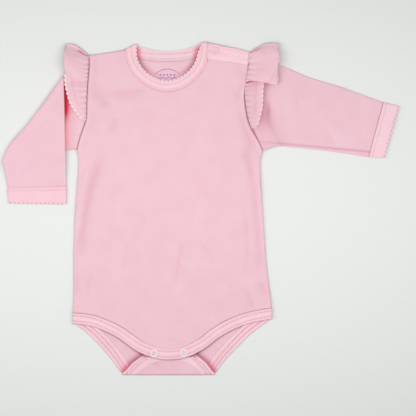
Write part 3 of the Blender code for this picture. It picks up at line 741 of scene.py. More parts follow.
# the front leg binding, along the hem and round the tab, whose middle is drawn up a little
legBinding = dict(
    thick=1.7, round=1.4, rows=[(3.4, 0.3), (9.6, 0.5)],
    material=ribJersey, seam=0.4, rowShade=0.45, pitch=5.2,
)
low, high = (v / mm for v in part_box("leg_binding_front"))
legX = np.linspace(low.x + 0.1, high.x - 0.1, 260)
legOuter = np.column_stack([legX, soften(sideY("leg_binding_front", legX, -1), 6)])
legInner = np.column_stack([legX, soften(sideY("leg_binding_front", legX, 1), 6)])
for edge in (legOuter, legInner):
    edge[:, 1] += 1.2 * bell(edge[:, 0], 26)
outer, inner = spaced(legOuter, 300), spaced(legInner, 300)
legShell, legRow = ribbon("leg_binding_front_shell", outer, inner, frontZUnder, legBinding)
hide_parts("leg_binding_front")
sewn("leg_binding_front_stitches", [legRow(3.4, 0.05), legRow(9.6, 0.05)], stitchLook)
allowance("hem_allowance", spaced(legInner, 200)[6:-6], -1.6, 2.0, 200)
print("front leg binding")

# the back panel, whose crotch end folds up behind the front tab
backPanel = dict(rows=120, columns=110, wall=0.95, reach=60.0)
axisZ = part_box("leg_binding_back")[1].z / mm / 2
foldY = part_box("back_body")[0].y / mm + axisZ
foldRadius = axisZ - 0.5
foldLength = math.pi * foldRadius
flapEnd = sideY("leg_binding_back", 0.0, 1, 2.2)[0]


def foldCrotch(points):
    past = foldY - points[..., 1]
    radius = axisZ - points[..., 2]
    angle = np.clip(past / foldRadius, 0, math.pi)
    folded = points.copy()
    beyond = np.clip(past - foldLength, 0, None)
    folded[..., 1] = np.where(past > 0, foldY - radius * np.sin(angle) + beyond, points[..., 1])
    folded[..., 2] = np.where(past > 0, axisZ - radius * np.cos(angle), points[..., 2])
    return folded


def backEdge(name, sign, y):
    # x of an edge of the back, cut flat, so that y runs on past the fold
    y = np.asarray(y, float)
    lyingY = np.linspace(foldY + 0.3, -112, 60)
    lying = sideX(name, lyingY, sign, -1, 1.7 if "binding" in name else 1.2)
    flapY = np.linspace(foldY + 1.0, flapEnd - (9.0 if "binding" in name else 14.0), 16)
    flap = sideX(name, flapY, sign, 2.2)
    flatY = np.concatenate([(2 * foldY - foldLength - flapY)[::-1], lyingY])
    x = np.concatenate([flap[::-1], lying])
    return np.interp(y, flatY, soften(x, 3))


def flapShade(x, y):
    # the gap beside each edge of the folded flap
    flapY = np.linspace(foldY + 0.6, flapEnd - 2, 24)
    shade = np.zeros_like(x)
    for sign in (-1, 1):
        flapSide = np.column_stack([sideX("leg_binding_back", flapY, sign, 2.2), flapY])
        apart, _ = nearest(flapSide, x, y)
        outside = smooth((sign * (x - np.interp(y, flapSide[:, 1], flapSide[:, 0])) + 1) / 1.5)
        shade = shade + 0.85 * outside * bell(apart, 4.4) * (y > foldY)
    return shade


flapFar = 2 * foldY - foldLength - flapEnd + 9.5
foldRows = foldY - np.linspace(-0.6, foldLength + 0.6, 22)
legRows = np.concatenate([np.linspace(flapFar, foldRows[-1] - 0.8, 20), foldRows[::-1]])
lowRows = np.concatenate([legRows, np.linspace(foldY + 1.6, -116, 60)])
highRows = np.linspace(-114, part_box("back_body")[1].y / mm - 14.5, 90)
sideLeft = soften(sideX("back_body", highRows, -1), 3) + drawn(highRows, -1)
sideRight = soften(sideX("back_body", highRows, 1), 3) + drawn(highRows, 1)
leftEdge = np.concatenate([backEdge("back_body", -1, lowRows), sideLeft])
rightEdge = np.concatenate([backEdge("back_body", 1, lowRows), sideRight])
leftX = np.linspace(sideLeft[-1] + 0.4, backSeam[0, 0] - 0.6, 14)
rightX = np.linspace(backSeam[-1, 0] + 1.2, sideRight[-1] - 0.2, 14)
topEdge = np.vstack([
    np.column_stack([leftX, sideY("back_body", leftX, 1)]),
    backSeam[3:-3:3] + (0, 0.4),
    np.column_stack([rightX, sideY("back_body", rightX, 1)]),
])
topEdge = spaced(topEdge, backPanel["columns"])
rowsBack = np.concatenate([lowRows, highRows])
plan = panel(rowsBack, leftEdge, rightEdge, topEdge, None, backPanel["columns"], backPanel["reach"])
x, y = plan[..., 0], plan[..., 1]
hemAway, _ = nearest(spaced(legOuter, 60), x, y)
shade = neckShade(x, y) + flapShade(x, y) + 0.5 * bell(hemAway, 1.7) * (y > foldY)
flapFold = dict(start=(-21, -176), end=(-9, -183), bend=1, width=2.2, height=-0.6)
onFlap = y < foldY - foldLength / 2
flapCrease = np.where(onFlap, creaseHeight(x, 2 * foldY - foldLength - y, [flapFold]), 0)
shade = np.clip(shade - 0.25 * flapCrease, 0, 1)
points = foldCrotch(np.dstack([plan, 0.5 - flapCrease]))
backShell = gridMesh("back_panel", points, bodyJersey, backPanel["wall"], lengths=plan * mm, depth=shade)
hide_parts("back_body")

# a small generic mark printed inside the neck: a row of dots under an arch and over a wavy rule
printLook = dict(centre=(-2.4, 153.6), dots=5, gap=3.9, dot=1.05, dotRise=0.6, top=1.03, ink=0.06)
# each rule's length, thickness, height over the centre, arch and waves
printRules = ((29.0, 0.8, 7.2, 6.0, 0.0), (21.0, 1.0, -3.0, 0.0, 0.8))
# plastisol ink: a flat plum film, washed out in patches
printInk, _, shader, _ = mottled("plastisol_print", "#8050A0", "#B58BC0", 700.0, 3.0)
shader.inputs["Roughness"].default_value = 0.6
middleX, middleY = printLook["centre"]
top = printLook["top"]
points, faces = [], []
for k in range(printLook["dots"]):
    x = middleX + (k - (printLook["dots"] - 1) / 2) * printLook["gap"]
    y = middleY + printLook["dotRise"]
    first = len(points)
    for a in np.linspace(0, 2 * math.pi, 17)[:-1]:
        points.append((x + printLook["dot"] * math.cos(a), y + printLook["dot"] * math.sin(a), top))
    faces.append(tuple(range(first, first + 16)))
for long, thick, rise, arch, waves in printRules:
    first = len(points)
    for share in np.linspace(-0.5, 0.5, 61):
        x = middleX + share * long
        y = middleY + rise - arch * 4 * share**2 + waves * math.sin(2 * math.pi * share * 3)
        points += [(x, y - thick / 2, top), (x, y + thick / 2, top)]
    faces += [(first + 2 * k, first + 2 * k + 2, first + 2 * k + 3, first + 2 * k + 1) for k in range(60)]
mesh = bpy.data.meshes.new("neck_print")
mesh.from_pydata([tuple(v * mm for v in p) for p in points], [], faces)
neckPrint = placePiece("neck_print", mesh, printInk)
addWall(neckPrint, "ink", printLook["ink"])
print("back panel")

# the back leg binding: one strip a side, from the side seam to the crotch and up the folded flap
backBinding = dict(
    thick=1.5, round=1.2, rows=[(4.6, 0.5), (9.0, 0.5)],
    material=ribJersey, seam=0.14, rowShade=0.6, meets=0.9, shadeTint=flapShade,
)
for side, sign in (("left", -1), ("right", 1)):
    name = f"leg_binding_back_{side}"
    cornerY = extreme("leg_binding_back", sign, -0.6)[1]
    innerY = np.concatenate([legRows, np.linspace(foldY + 1.6, cornerY + 14.5, 80)])
    outerY = np.concatenate([legRows, np.linspace(foldY + 1.6, cornerY + 0.2, 80)])
    inner = np.column_stack([backEdge("back_body", sign, innerY) + sign * 0.35, innerY])
    outer = np.column_stack([backEdge("leg_binding_back", sign, outerY), outerY])
    inner[:, 0] = sign * np.minimum(sign * inner[:, 0], sign * outer[-1, 0])
    if sign < 0:
        inner, outer = inner[::-1], outer[::-1]
    flap = (outer[:, 1] < foldY - foldLength / 2).astype(float)
    shell, row = ribbon(name + "_shell", outer, inner, onTable, backBinding, foldCrotch, flap)
    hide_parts("leg_binding_back")
    shown = flap > 0.5
    lying = [row(at, 0.03)[~shown] for at in (4.6, 9.0)]
    folded = [row(at, 0.05, True)[shown] for at in (4.6, 9.0)]
    sewn(name + "_stitches", lying + folded, stitchLook)
print("back leg binding")


# the sleeves: rings round lines that run from a sleeve's upper edge to its lower one, the front layer first
def tubeRings(lines, mid, half, around=56):
    rings = []
    corner = 1 - np.cos(np.linspace(0, math.pi / 2, 7))
    for line in lines:
        width = pathLength(line)
        straight = np.linspace(half, width - half, around)[1:-1]
        across = np.concatenate([corner * half, straight, width - corner[::-1] * half])
        lengths = runAlong(line)
        plan = np.stack([np.interp(across, lengths, c) for c in line.T], axis=-1)
        inside = np.clip(np.minimum(across, width - across) / half, 0, 1)
        rise = half * np.sqrt(1 - (1 - inside) ** 2)
        front = np.column_stack([plan, mid + rise])
        back = np.column_stack([plan, mid - rise])
        rings.append(np.vstack([front, back[-2:0:-1]]))
    return np.array(rings)


def lineBetween(first, last, count=41):
    shares = np.linspace(0, 1, count)[:, None]
    return np.asarray(first) * (1 - shares) + np.asarray(last) * shares


def tubeLengths(rings):
    # distance round and along a tube, for the run of its knit
    around = runAcross(rings)
    along = runAlong(rings.mean(axis=1))
    return np.dstack([around, np.broadcast_to(along[:, None], around.shape)]) * mm


def armholeLine(name, sign, first, last):
    y = np.linspace(first[1], last[1], 41)
    return np.column_stack([soften(sideX(name, np.clip(y, last[1] + 1.5, first[1] - 1.5), sign), 3), y])


sleeveLook = dict(wall=0.9, half=0.9, liftEnds=(19.0, 27.0), lift=1.45)
rightSleeveCreases = [
    dict(start=(160, 143), end=(140, 121), bend=1.5, width=4.5, height=-0.55),
    dict(start=(150, 138), end=(128, 116), bend=2, width=6.0, height=0.5),
    dict(start=(178, 100), end=(195, 74), bend=-2, width=5.0, height=-0.5),
    dict(start=(186, 104), end=(204, 78), bend=-2, width=6.0, height=0.5),
    dict(start=(113, 128), end=(116, 92), bend=3, width=5.0, height=-0.8),
    dict(start=(118, 132), end=(126, 90), bend=3, width=6.0, height=0.7),
    dict(start=(135, 92), end=(225, 80), bend=5, width=9.0, height=0.5),
    dict(start=(170, 128), end=(235, 112), bend=4, width=10.0, height=0.35),
]
underarmFold = dict(start=(86, 78.6), end=(272, 61.6), bend=0.4, width=1.2, height=-0.6)
leftSleeveCreases = [
    dict(start=(-140, 112), end=(-156, 86), bend=1.5, width=4.0, height=-0.6),
    dict(start=(-133, 108), end=(-149, 80), bend=1.5, width=5.0, height=0.5),
    dict(start=(-177, 58), end=(-171, 30), bend=-1.0, width=4.5, height=-0.6),
    dict(start=(-169, 62), end=(-163, 30), bend=-1.0, width=5.0, height=0.4),
    dict(start=(-128, 132), end=(-130, 40), bend=3.0, width=7.0, height=0.5),
    dict(start=(-150, 70), end=(-146, 30), bend=-2.0, width=10.0, height=0.4),
]

armY = np.linspace(68, 176, 60)
armEnd = {-1: 174, 1: 163}
armX = {s: soften(sideX("front_body", np.clip(armY, 0, end), s), 4) for s, end in armEnd.items()}


def sleeveLift(points, sign):
    # over the hidden half of the ruffle the sleeve rides higher
    edge = np.interp(points[..., 1], armY, armX[sign])
    near, far = sleeveLook["liftEnds"]
    return sleeveLook["lift"] * (1 - smooth((np.abs(points[..., 0] - edge) - near) / (far - near)))


def shapeSleeve(rings, creases, seed, shown, body):
    # creases on the layer that shows, and a little slack everywhere
    x, y = rings[..., 0], rings[..., 1]
    relief = 1.5 * creaseHeight(x, y, creases) + 0.22 * ripple(x, y, 38, seed)
    path = np.column_stack([body, armY])
    away, along = nearest(path[::4], x, y)
    pleat = 0.5 + 0.5 * np.sin(2 * math.pi * along / 6.5 + 1.4 * np.sin(along / 9))
    rings[..., 2] += shown * (np.maximum(relief, -0.75) + pleat * 0.4 * bell(away, 7))
    return rings, away


def layerShare(count, around, front):
    # one on the layer that shows, fading out round the rolled edges
    line = np.sin(np.linspace(0, math.pi, around)) ** 0.35
    whole = np.zeros(count)
    if front:
        whole[:around] = line
    else:
        whole[around - 1:] = line[: count - around + 1]
    return whole


armTop, armLow = extreme("sleeve_right", -0.35, 1), extreme("sleeve_right", -0.9, -1)
cuffTop, cuffLow = extreme("sleeve_right", 1, 0.35), extreme("sleeve_right", 0.45, -1)
upperX = np.linspace(armTop[0] + 0.2, cuffTop[0] - 0.2, 80)
lowerX = np.linspace(armLow[0] + 0.2, cuffLow[0] - 0.2, 80)
count = 110
upperEdge = spaced(np.column_stack([upperX, soften(sideY("sleeve_right", upperX, 1), 5)]), count)
lowerEdge = spaced(np.column_stack([lowerX, soften(sideY("sleeve_right", lowerX, -1), 5)]), count)
bow = armholeLine("sleeve_right", -1, upperEdge[0], lowerEdge[0]) - lineBetween(upperEdge[0], lowerEdge[0])
fade = 1 - smooth(np.arange(count) / 24)
lines = [lineBetween(a, b) + bow * f for a, b, f in zip(upperEdge, lowerEdge, fade)]
rings = tubeRings(lines, 0.5 + sleeveLook["half"], sleeveLook["half"])
rings[..., 2] += sleeveLift(rings, 1)
around = (rings.shape[1] + 2) // 2
shown = layerShare(rings.shape[1], around, True)
rings, away = shapeSleeve(rings, rightSleeveCreases + [underarmFold], 11, shown, armX[1])
knit = tubeLengths(rings)
x, y = rings[..., 0], rings[..., 1]
# light is lost along the seam, under the ruffle, in the underarm fold and in two hollows beside the ruffle
underRuffle = smooth((154 - y) / 8) * smooth((y - 82) / 30) * (1 - smooth((away - 17) / 14))
shadow = 0.5 * bell(away, 1.2) + 0.40 * underRuffle + 0.09 * (1 - smooth((away - 20) / 18))
shadow = shadow + 0.65 * np.maximum(-creaseHeight(x, y, [underarmFold]), 0)
shadow = shadow + 0.4 * bell(x - 113, 3.6) * bell(y - 145, 5)
shadow = shadow + 0.3 * bell(x - 114, 2.2) * bell(y - 113, 9)
rightSleeve = gridMesh(
    "sleeve_right_shell", rings, bodyJersey, sleeveLook["wall"],
    closed=True, lengths=knit, depth=np.clip(shadow, 0, 1),
)
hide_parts("sleeve_right")
print("right sleeve")

cuffLook = dict(wall=1.5, half=1.1, row=4.0)
cuffPicot = dict(pitch=5.0, reach=1.5, radius=0.5, gapShade=0.7, material=cuffEdging)


def cuffTube(name, seamLine, edgeLine, mid, fold=None, front=True):
    # a turned hem: a ridge beside the seam, a row of stitches, and the edging round its end
    wide = float(np.linalg.norm(edgeLine[0] - seamLine[0]))
    shares = np.linspace(0, 1, 44)
    rings = tubeRings([seamLine * (1 - t) + edgeLine * t for t in shares], mid, cuffLook["half"])
    at = shares * wide
    relief = 0.3 * bell(at - 1.8, 1.1) - 0.3 * bell(at - cuffLook["row"], 0.7) - 0.3 * bell(at, 0.8)
    around = (rings.shape[1] + 2) // 2
    show = layerShare(rings.shape[1], around, front)
    run = np.linspace(0, pathLength(seamLine) * 2, rings.shape[1])
    puff = 0.10 * np.sin(2 * math.pi * run / 4.6 + 1.3 * np.sin(run / 8))
    lift = relief[:, None] + puff[None, :] * bell(at - 6, 5)[:, None]
    rings[..., 2] += lift * (1 if front else -1) * show
    # painted shade: darker along the seam and the row of stitches, and a little darker all over on the folded
    # cuff, whose other layer shows
    depth = np.full(rings.shape[:2], 0.0 if front else 0.08)
    for line in (0.0, cuffLook["row"]):
        depth += 0.2 * bell(at - line, 0.7)[:, None]
    knit = tubeLengths(rings)
    if fold is not None:
        rings = fold(rings)
    piece = gridMesh(name, rings, ribJersey, cuffLook["wall"], closed=True, lengths=knit, depth=depth)
    share = cuffLook["row"] / wide * (len(shares) - 1)
    ring = int(share)
    stitches = rings[ring] * (1 - share + ring) + rings[ring + 1] * (share - ring)
    stitches = stitches[2:around - 2] if front else stitches[around + 2:]
    stitches[:, 2] += cuffLook["wall"] / 2 + 0.05
    sewn(name + "_stitches", [stitches], stitchLook)
    last = rings[-1]
    outward = last - rings[-4]
    picot(name + "_edging", np.vstack([last, last[:1]]), np.vstack([outward, outward[:1]]), cuffPicot)
    return piece


cuffFar, cuffNear = extreme("cuff_right", 1, 0.3), extreme("cuff_right", 0.3, -1)
seamLine = lineBetween(cuffTop + (0.1, 0), cuffLow + (0.1, 0))
along = (cuffTop - armTop) / np.linalg.norm(cuffTop - armTop)
edgeLine = lineBetween(cuffFar - along * 1.6, cuffNear - (1.6, 0))
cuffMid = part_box("cuff_right")[1].z / mm / 2
rightCuff = cuffTube("cuff_right_shell", seamLine, edgeLine, cuffMid)
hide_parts("cuff_right")
print("right cuff")

# the left sleeve is built flat, and its forearm is folded over its front along a slanting crease
creaseHigh = extreme("sleeve_left", -0.68, 0.75) + (2.2, 2.2)
creaseLow = extreme("sleeve_left", -0.97, 0.25)
creaseAlong = (creaseLow - creaseHigh) / np.linalg.norm(creaseLow - creaseHigh)
creaseOut = np.array([creaseAlong[1], -creaseAlong[0]])
leftFold = dict(axis=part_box("sleeve_left")[1].z / mm / 2, drop=(57.0, 24.0), bulge=3.0, round=2.0)
creaseStart = creaseHigh - creaseOut * leftFold["axis"]
creaseEnd = creaseLow - creaseOut * leftFold["axis"]
creaseRadius = leftFold["axis"] - 0.5 - sleeveLook["half"]
creaseLength = math.pi * creaseRadius


def foldSleeve(points):
    place = (points[..., :2] - creaseStart) @ creaseAlong
    past = (points[..., :2] - creaseStart) @ creaseOut
    radius = leftFold["axis"] - points[..., 2]
    angle = np.clip(past / creaseRadius, 0, math.pi)
    back = np.where(past > 0, radius * np.sin(angle) - np.clip(past - creaseLength, 0, None), past)
    height = np.where(past > 0, leftFold["axis"] - radius * np.cos(angle), points[..., 2])
    folded = points.copy()
    folded[..., :2] = creaseStart + place[..., None] * creaseAlong + back[..., None] * creaseOut
    high, low = leftFold["drop"]
    drop = smooth((high - folded[..., 1]) / (high - low)) * (past > creaseLength)
    folded[..., 2] = height - 2 * creaseRadius * drop
    share = place / pathLength(np.array([creaseHigh, creaseLow]))
    elbow = leftFold["bulge"] * bell(share - 0.84, 0.17)
    bulge = elbow - leftFold["round"] * smooth((share - 0.93) / 0.12)
    near = smooth(1 + (back - leftFold["axis"]) / 34)
    folded[..., :2] += (bulge * near)[..., None] * creaseOut
    return folded


def unfold(point):
    # where a point of the folded forearm lies when the sleeve is spread flat
    place = (point - creaseStart) @ creaseAlong
    back = (point - creaseStart) @ creaseOut
    return creaseStart + place * creaseAlong + (creaseLength - back) * creaseOut


armTop = extreme("sleeve_left", 0.35, 1)
armLow = np.array([sideX("sleeve_left", 70.0, 1, -1, 4.4)[0], 69.6])
cuffInner, cuffOuter = extreme("sleeve_left", 0.55, -1) - (1.6, 0), extreme("sleeve_left", -0.5, -1)
upperCount, lowerCount = 52, 90
bow = armholeLine("sleeve_left", 1, armTop, armLow) - lineBetween(armTop, armLow)
lines = []
for t in np.arange(upperCount) / upperCount:
    upperEnd = armTop * (1 - t) + creaseStart * t
    lowerEnd = armLow * (1 - t) + creaseEnd * t
    lines.append(lineBetween(upperEnd, lowerEnd) + bow * (1 - smooth(t)))
creaseFlat = lineBetween(creaseStart, creaseEnd)
cuffFlat = lineBetween(unfold(cuffInner), unfold(cuffOuter))
ahead = (cuffFlat - creaseFlat) @ creaseOut
for d in np.linspace(0, creaseLength, 16)[:-1]:
    lines.append(creaseFlat + (cuffFlat - creaseFlat) * (d / ahead)[:, None])
crossed = creaseFlat + (cuffFlat - creaseFlat) * (creaseLength / ahead)[:, None]
for t in np.linspace(0, 1, lowerCount):
    lines.append(crossed * (1 - t) + cuffFlat * t)
rings = tubeRings(lines, 0.5 + sleeveLook["half"], sleeveLook["half"])
rings[..., 2] += sleeveLift(rings, -1)
around = (rings.shape[1] + 2) // 2
knit = tubeLengths(rings)
upper = np.arange(len(lines)) < upperCount
shown = layerShare(rings.shape[1], around, True)
rings[upper], _ = shapeSleeve(rings[upper], [], 17, shown, armX[-1])
folded = foldSleeve(rings)
x, y = folded[..., 0], folded[..., 1]
shown = layerShare(rings.shape[1], around, False)
relief = 1.5 * creaseHeight(x, y, leftSleeveCreases) + 0.2 * ripple(x, y, 36, 19)
ease = smooth((np.arange(len(lines)) - upperCount - 14) / 10)[:, None]
folded[..., 2] += shown * ease * np.maximum(relief, -0.7)
# painted shade on the upper arm along its seam, and a painted red glow beside the forearm that lies on it
away, _ = nearest(np.column_stack([armX[-1], armY])[::4], x, y)
beside = x - np.interp(y, (cuffInner[1], creaseHigh[1]), (cuffInner[0], creaseHigh[0]))
strength = 0.26 + 0.70 * smooth((y - 96) / 20)
glow = strength * bell(np.clip(beside, 0, 99), 2.8 + 2.0 * smooth((y - 95) / 20)) + 0.20 * bell(beside, 11)
shade = np.where(upper[:, None], np.clip(0.4 * bell(away, 1.2) + glow, 0, 1), 0.0)
leftSleeve = gridMesh(
    "sleeve_left_shell", folded, sleeveJersey, sleeveLook["wall"], closed=True, lengths=knit, depth=shade
)
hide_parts("sleeve_left")
edgeInner = extreme("cuff_left", 0.5, -1) - (2.4, 0) + (0, 0.6)
edgeOuter = extreme("cuff_left", -0.5, -1) - (0.6, 0) + (0, 2.8)
edgeLine = lineBetween(unfold(edgeInner), unfold(edgeOuter))
cuffMid = 0.2 + 2 * sleeveLook["half"] - cuffLook["half"]
leftCuff = cuffTube("cuff_left_shell", cuffFlat, edgeLine, cuffMid, foldSleeve, False)
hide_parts("cuff_left")
print("left sleeve and cuff")

# the ruffles, as ribs from the seam to the free edge: up the front, over the shoulder, down the back
# each rib: height up the seam, its z, reach from the seam, height of the tip, its z, belly, curl, painted
# shade in its valley
ruffles = dict(
    wall=0.8, columns=36, stations=330, hem=7.4, gather=0.8, gatherPitch=5.6, fullness=1.4,
    edged=dict(left=50, right=63),
    picot=dict(left=picotLook, right=dict(picotLook, reach=1.1, material=cuffEdging)),
    left=(
        (1, 4.6, 1.2, 1.0, 5.0, 0.0, 0.0, 0.0),
        (10, 4.8, 9.0, 8.8, 6.2, 0.6, 0.0, 0.0),
        (20, 5.0, 16.0, 19.0, 7.0, 1.2, 0.0, 0.0),
        (30, 5.0, 20.6, 31.0, 7.4, 1.4, 0.0, 0.0),
        (38.6, 5.0, 23.4, 40.6, 7.8, 0.4, 0.0, 0.0),
        (44.6, 4.7, 24.6, 45.4, 7.8, -0.8, 0.1, 0.26),
        (47.6, 5.0, 25.4, 51.0, 9.0, 0.6, 0.3, 0.0),
        (53, 5.2, 26.4, 60.4, 10.4, 3.0, 0.8, 0.0),
        (60, 5.0, 26.2, 70.4, 11.2, 3.6, 1.0, 0.0),
        (67, 5.0, 26.2, 80.4, 11.0, 3.2, 1.0, 0.0),
        (71.4, 4.9, 27.4, 87.0, 9.4, 2.2, 0.8, 0.0),
        (73.2, 4.4, 25.8, 89.2, 7.4, 0.6, 0.4, 0.1),
        (74.4, 3.9, 20.6, 89.4, 5.8, -0.6, 0.1, 0.95),
        (75.4, 3.0, 15.6, 87.6, 4.2, 0.8, 0.0, 0.0),
        (76.0, 1.8, 10.0, 84.6, 2.0, 0.4, 0.0, 0.0),
        (75.6, 0.9, 5.0, 81.0, 1.0, 0.0, 0.0, 0.0),
        (71.0, 0.5, 12.0, 73.0, 0.5, 0.0, 0.0, 0.0),
        (57.0, 0.5, 17.4, 60.0, 0.5, 0.0, 0.0, 0.0),
        (39.0, 0.5, 16.4, 41.0, 0.5, 0.0, 0.0, 0.0),
        (22.0, 0.5, 11.6, 22.0, 0.5, 0.0, 0.0, 0.0),
        (7.0, 0.5, 4.4, 5.6, 0.5, 0.0, 0.0, 0.0),
    ),
    right=(
        (1, 4.6, 5.4, 0.6, 5.0, 0.0, 0.0, 0.0),
        (12, 4.8, 12.2, 12.0, 6.2, 0.6, 0.0, 0.2),
        (24, 5.0, 17.6, 24.8, 6.8, 0.8, 0.0, 0.24),
        (36, 5.0, 19.4, 38.8, 6.8, 0.8, 0.0, 0.26),
        (46, 5.0, 20.4, 50.0, 6.4, 0.4, 0.0, 0.3),
        (50.5, 4.6, 21.0, 56.4, 5.8, 0.0, 0.0, 0.36),
        (52.4, 4.4, 17.4, 60.2, 6.0, -1.0, 0.0, 1.0),
        (54.2, 5.2, 20.4, 61.0, 8.8, 0.8, 0.0, 0.3),
        (57.4, 5.6, 30.4, 51.0, 10.8, 2.4, 0.1, 0.0),
        (62.0, 5.5, 35.6, 57.6, 11.6, 3.0, 0.5, 0.0),
        (71.0, 5.2, 35.0, 77.0, 11.8, 3.4, 0.9, 0.0),
        (79.0, 5.0, 35.0, 89.4, 11.0, 3.0, 0.9, 0.0),
        (83.0, 4.7, 34.6, 95.2, 9.2, 1.8, 0.5, 0.0),
        (85.2, 4.1, 30.8, 98.0, 7.2, 0.4, 0.2, 0.1),
        (86.2, 3.4, 21.4, 97.8, 5.0, -0.5, 0.0, 0.8),
        (86.8, 2.4, 13.6, 95.4, 3.4, 0.6, 0.0, 0.0),
        (86.8, 1.2, 5.6, 91.6, 1.4, 0.2, 0.0, 0.0),
        (84.8, 0.5, 6.0, 87.6, 0.5, 0.0, 0.0, 0.0),
        (78.0, 0.5, 13.6, 81.0, 0.5, 0.0, 0.0, 0.0),
        (66.0, 0.5, 17.6, 68.0, 0.5, 0.0, 0.0, 0.0),
        (50.0, 0.5, 17.8, 51.0, 0.5, 0.0, 0.0, 0.0),
        (30.0, 0.5, 13.4, 30.0, 0.5, 0.0, 0.0, 0.0),
        (10.0, 0.5, 6.0, 8.6, 0.5, 0.0, 0.0, 0.0),
    ),
)


def ruffle(name, side, sign):
    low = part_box(name)[0].y / mm
    table = np.array(ruffles[side], float)
    dense = curve(table, ruffles["stations"])
    t = np.linspace(0, 1, ruffles["columns"])
    rows = []
    for height, z, reach, tipHeight, tipZ, belly, curl, valleyShade in dense:
        seam = np.interp(low + height, armY, armX[sign]) + sign * 0.45
        root = np.array([seam, low + height, z])
        tip = np.array([seam + sign * reach, low + tipHeight, tipZ])
        curl = max(curl, 0)
        out = np.sin(t * (1 + 0.42 * curl) * math.pi / 2) * curl + t * (1 - curl)
        row = root + (tip - root) * out[:, None]
        row[:, 1] = root[1] + (tip[1] - root[1]) * t
        row[:, 2] += belly * np.sin(math.pi * t) - 4.0 * curl * smooth((t - 0.66) / 0.34)
        row[:, 2] = np.maximum(row[:, 2], 0.5)
        rows.append(row)
    rows = np.array(rows)
    run = runAlong(rows[:, 0])
    edgeRun = runAlong(rows[:, -1])
    width = runAcross(rows)
    normal = np.cross(np.gradient(rows, axis=0), np.gradient(rows, axis=1))
    normal /= np.maximum(np.linalg.norm(normal, axis=2), 1e-6)[..., None]
    normal *= np.where(normal[..., 2:] < 0, -1, 1)
    above = smooth((rows[..., 2] - 1.6) / 2)  # the hidden half lies flat
    phase = 2 * math.pi * run / ruffles["gatherPitch"] + 1.9 * np.sin(run / 8.3) + sign
    gathers = ruffles["gather"] * np.sin(phase)[:, None] * np.exp(-width / 6.5)
    slow = 0.7 * np.sin(edgeRun / 7.5 + 2.0 * sign)[:, None] * smooth(width / 16)
    fromTip = width[:, -1:] - width
    hemLine = bell(fromTip - ruffles["hem"], 0.75) * smooth((width[:, -1:] - 12) / 5)
    turned = 0.15 * smooth((ruffles["hem"] - fromTip) / 1.5)
    rows += normal * (above * (gathers + slow + turned - 0.3 * hemLine))[..., None]
    rows[..., 2] = np.maximum(rows[..., 2], 0.5)
    # painted shade: the dark of a valley over the shoulder ends before the tip, lower down it runs out to it;
    # the pinches between gathers and the sunk hem line are painted darker too
    reachOut = np.where(dense[:, :1] > 70, smooth((0.66 - t) / 0.3), smooth((1.02 - t) / 0.5))
    valleyShade = np.clip(dense[:, 7], 0, 1)[:, None] ** 1.5 * reachOut * smooth(t / 0.06)
    pinch = 0.30 * smooth(-np.sin(phase))[:, None] * np.exp(-width / 3.0)
    depth = np.clip(valleyShade + above * pinch + 0.22 * hemLine * above, 0, 1)
    lengths = np.dstack([np.broadcast_to(run[:, None], width.shape) * ruffles["fullness"], width]) * mm
    piece = gridMesh(name + "_shell", rows, bodyJersey, ruffles["wall"], lengths=lengths, depth=depth)
    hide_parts(name)
    shown = (rows[:, -1, 2] > 3.0) & (width[:, -1] > 12)
    column = np.abs(fromTip - ruffles["hem"]).argmin(axis=1)
    line = np.array([rows[k, c] + normal[k, c] * 0.45 for k, c in enumerate(column)])
    sewn(name + "_stitches", [soften(line[shown], 3)], stitchLook)
    edged = slice(6, int(np.argmax(dense[:, 0] > ruffles["edged"][side])))
    outward = rows[:, -1] - rows[:, -3]
    picot(name + "_edging", rows[edged, -1], outward[edged], ruffles["picot"][side])


for side, sign, low, high in (("left", -1, -1.6, 2.0), ("right", 1, -2.0, 1.6)):
    allowance("armhole_allowance_" + side, np.column_stack([armX[sign], armY])[:-2], low, high)
for side, sign in (("left", -1), ("right", 1)):
    ruffle("ruffle_" + side, side, sign)
print("ruffles")

# the ring snaps; each place says how far its ring lies towards the neck and how deep it is sunk
snapLook = dict(
    radius=4.9, hole=2.2, height=1.1, rim=0.42, groove=0.55, grooveDepth=0.16,
    places=dict(crotch_left=(0.9, 0.1), crotch_right=(0.9, 0.1), shoulder=(0.0, 0.5)),
)


# polyoxymethylene, moulded: a smooth milky plastic with a soft shine
def acetal(name, light, dark):
    made, tree, shader, cloud = mottled(name, dark, light, 900.0, 2.0)
    skin = {"Strength": 0.08, "Distance": 0.0002}
    bump = addNode(tree, "ShaderNodeBump", skin, {"Height": cloud.outputs[0]})
    tree.links.new(bump.outputs[0], shader.inputs["Normal"])
    shader.inputs["Roughness"].default_value = 0.32
    shader.inputs["IOR"].default_value = 1.48
    shader.inputs["Subsurface Weight"].default_value = 0.15
    shader.inputs["Subsurface Radius"].default_value = (0.002, 0.0014, 0.0014)
    return made


snapPlastic = acetal("moulded_acetal", "#EBDCE2", "#E0CDD5")
pinkPlastic = acetal("moulded_acetal_pink", "#EBC5CE", "#E4BBC5")


def selectFaces(piece, chosen):
    # goes into edit mode with only the chosen faces selected
    bpy.ops.object.mode_set(mode="EDIT")
    bpy.ops.mesh.select_mode(type="FACE")
    bpy.ops.mesh.select_all(action="DESELECT")
    work = bmesh.from_edit_mesh(piece.data)
    for face in work.faces:
        face.select = chosen(face)
    bmesh.update_edit_mesh(piece.data)


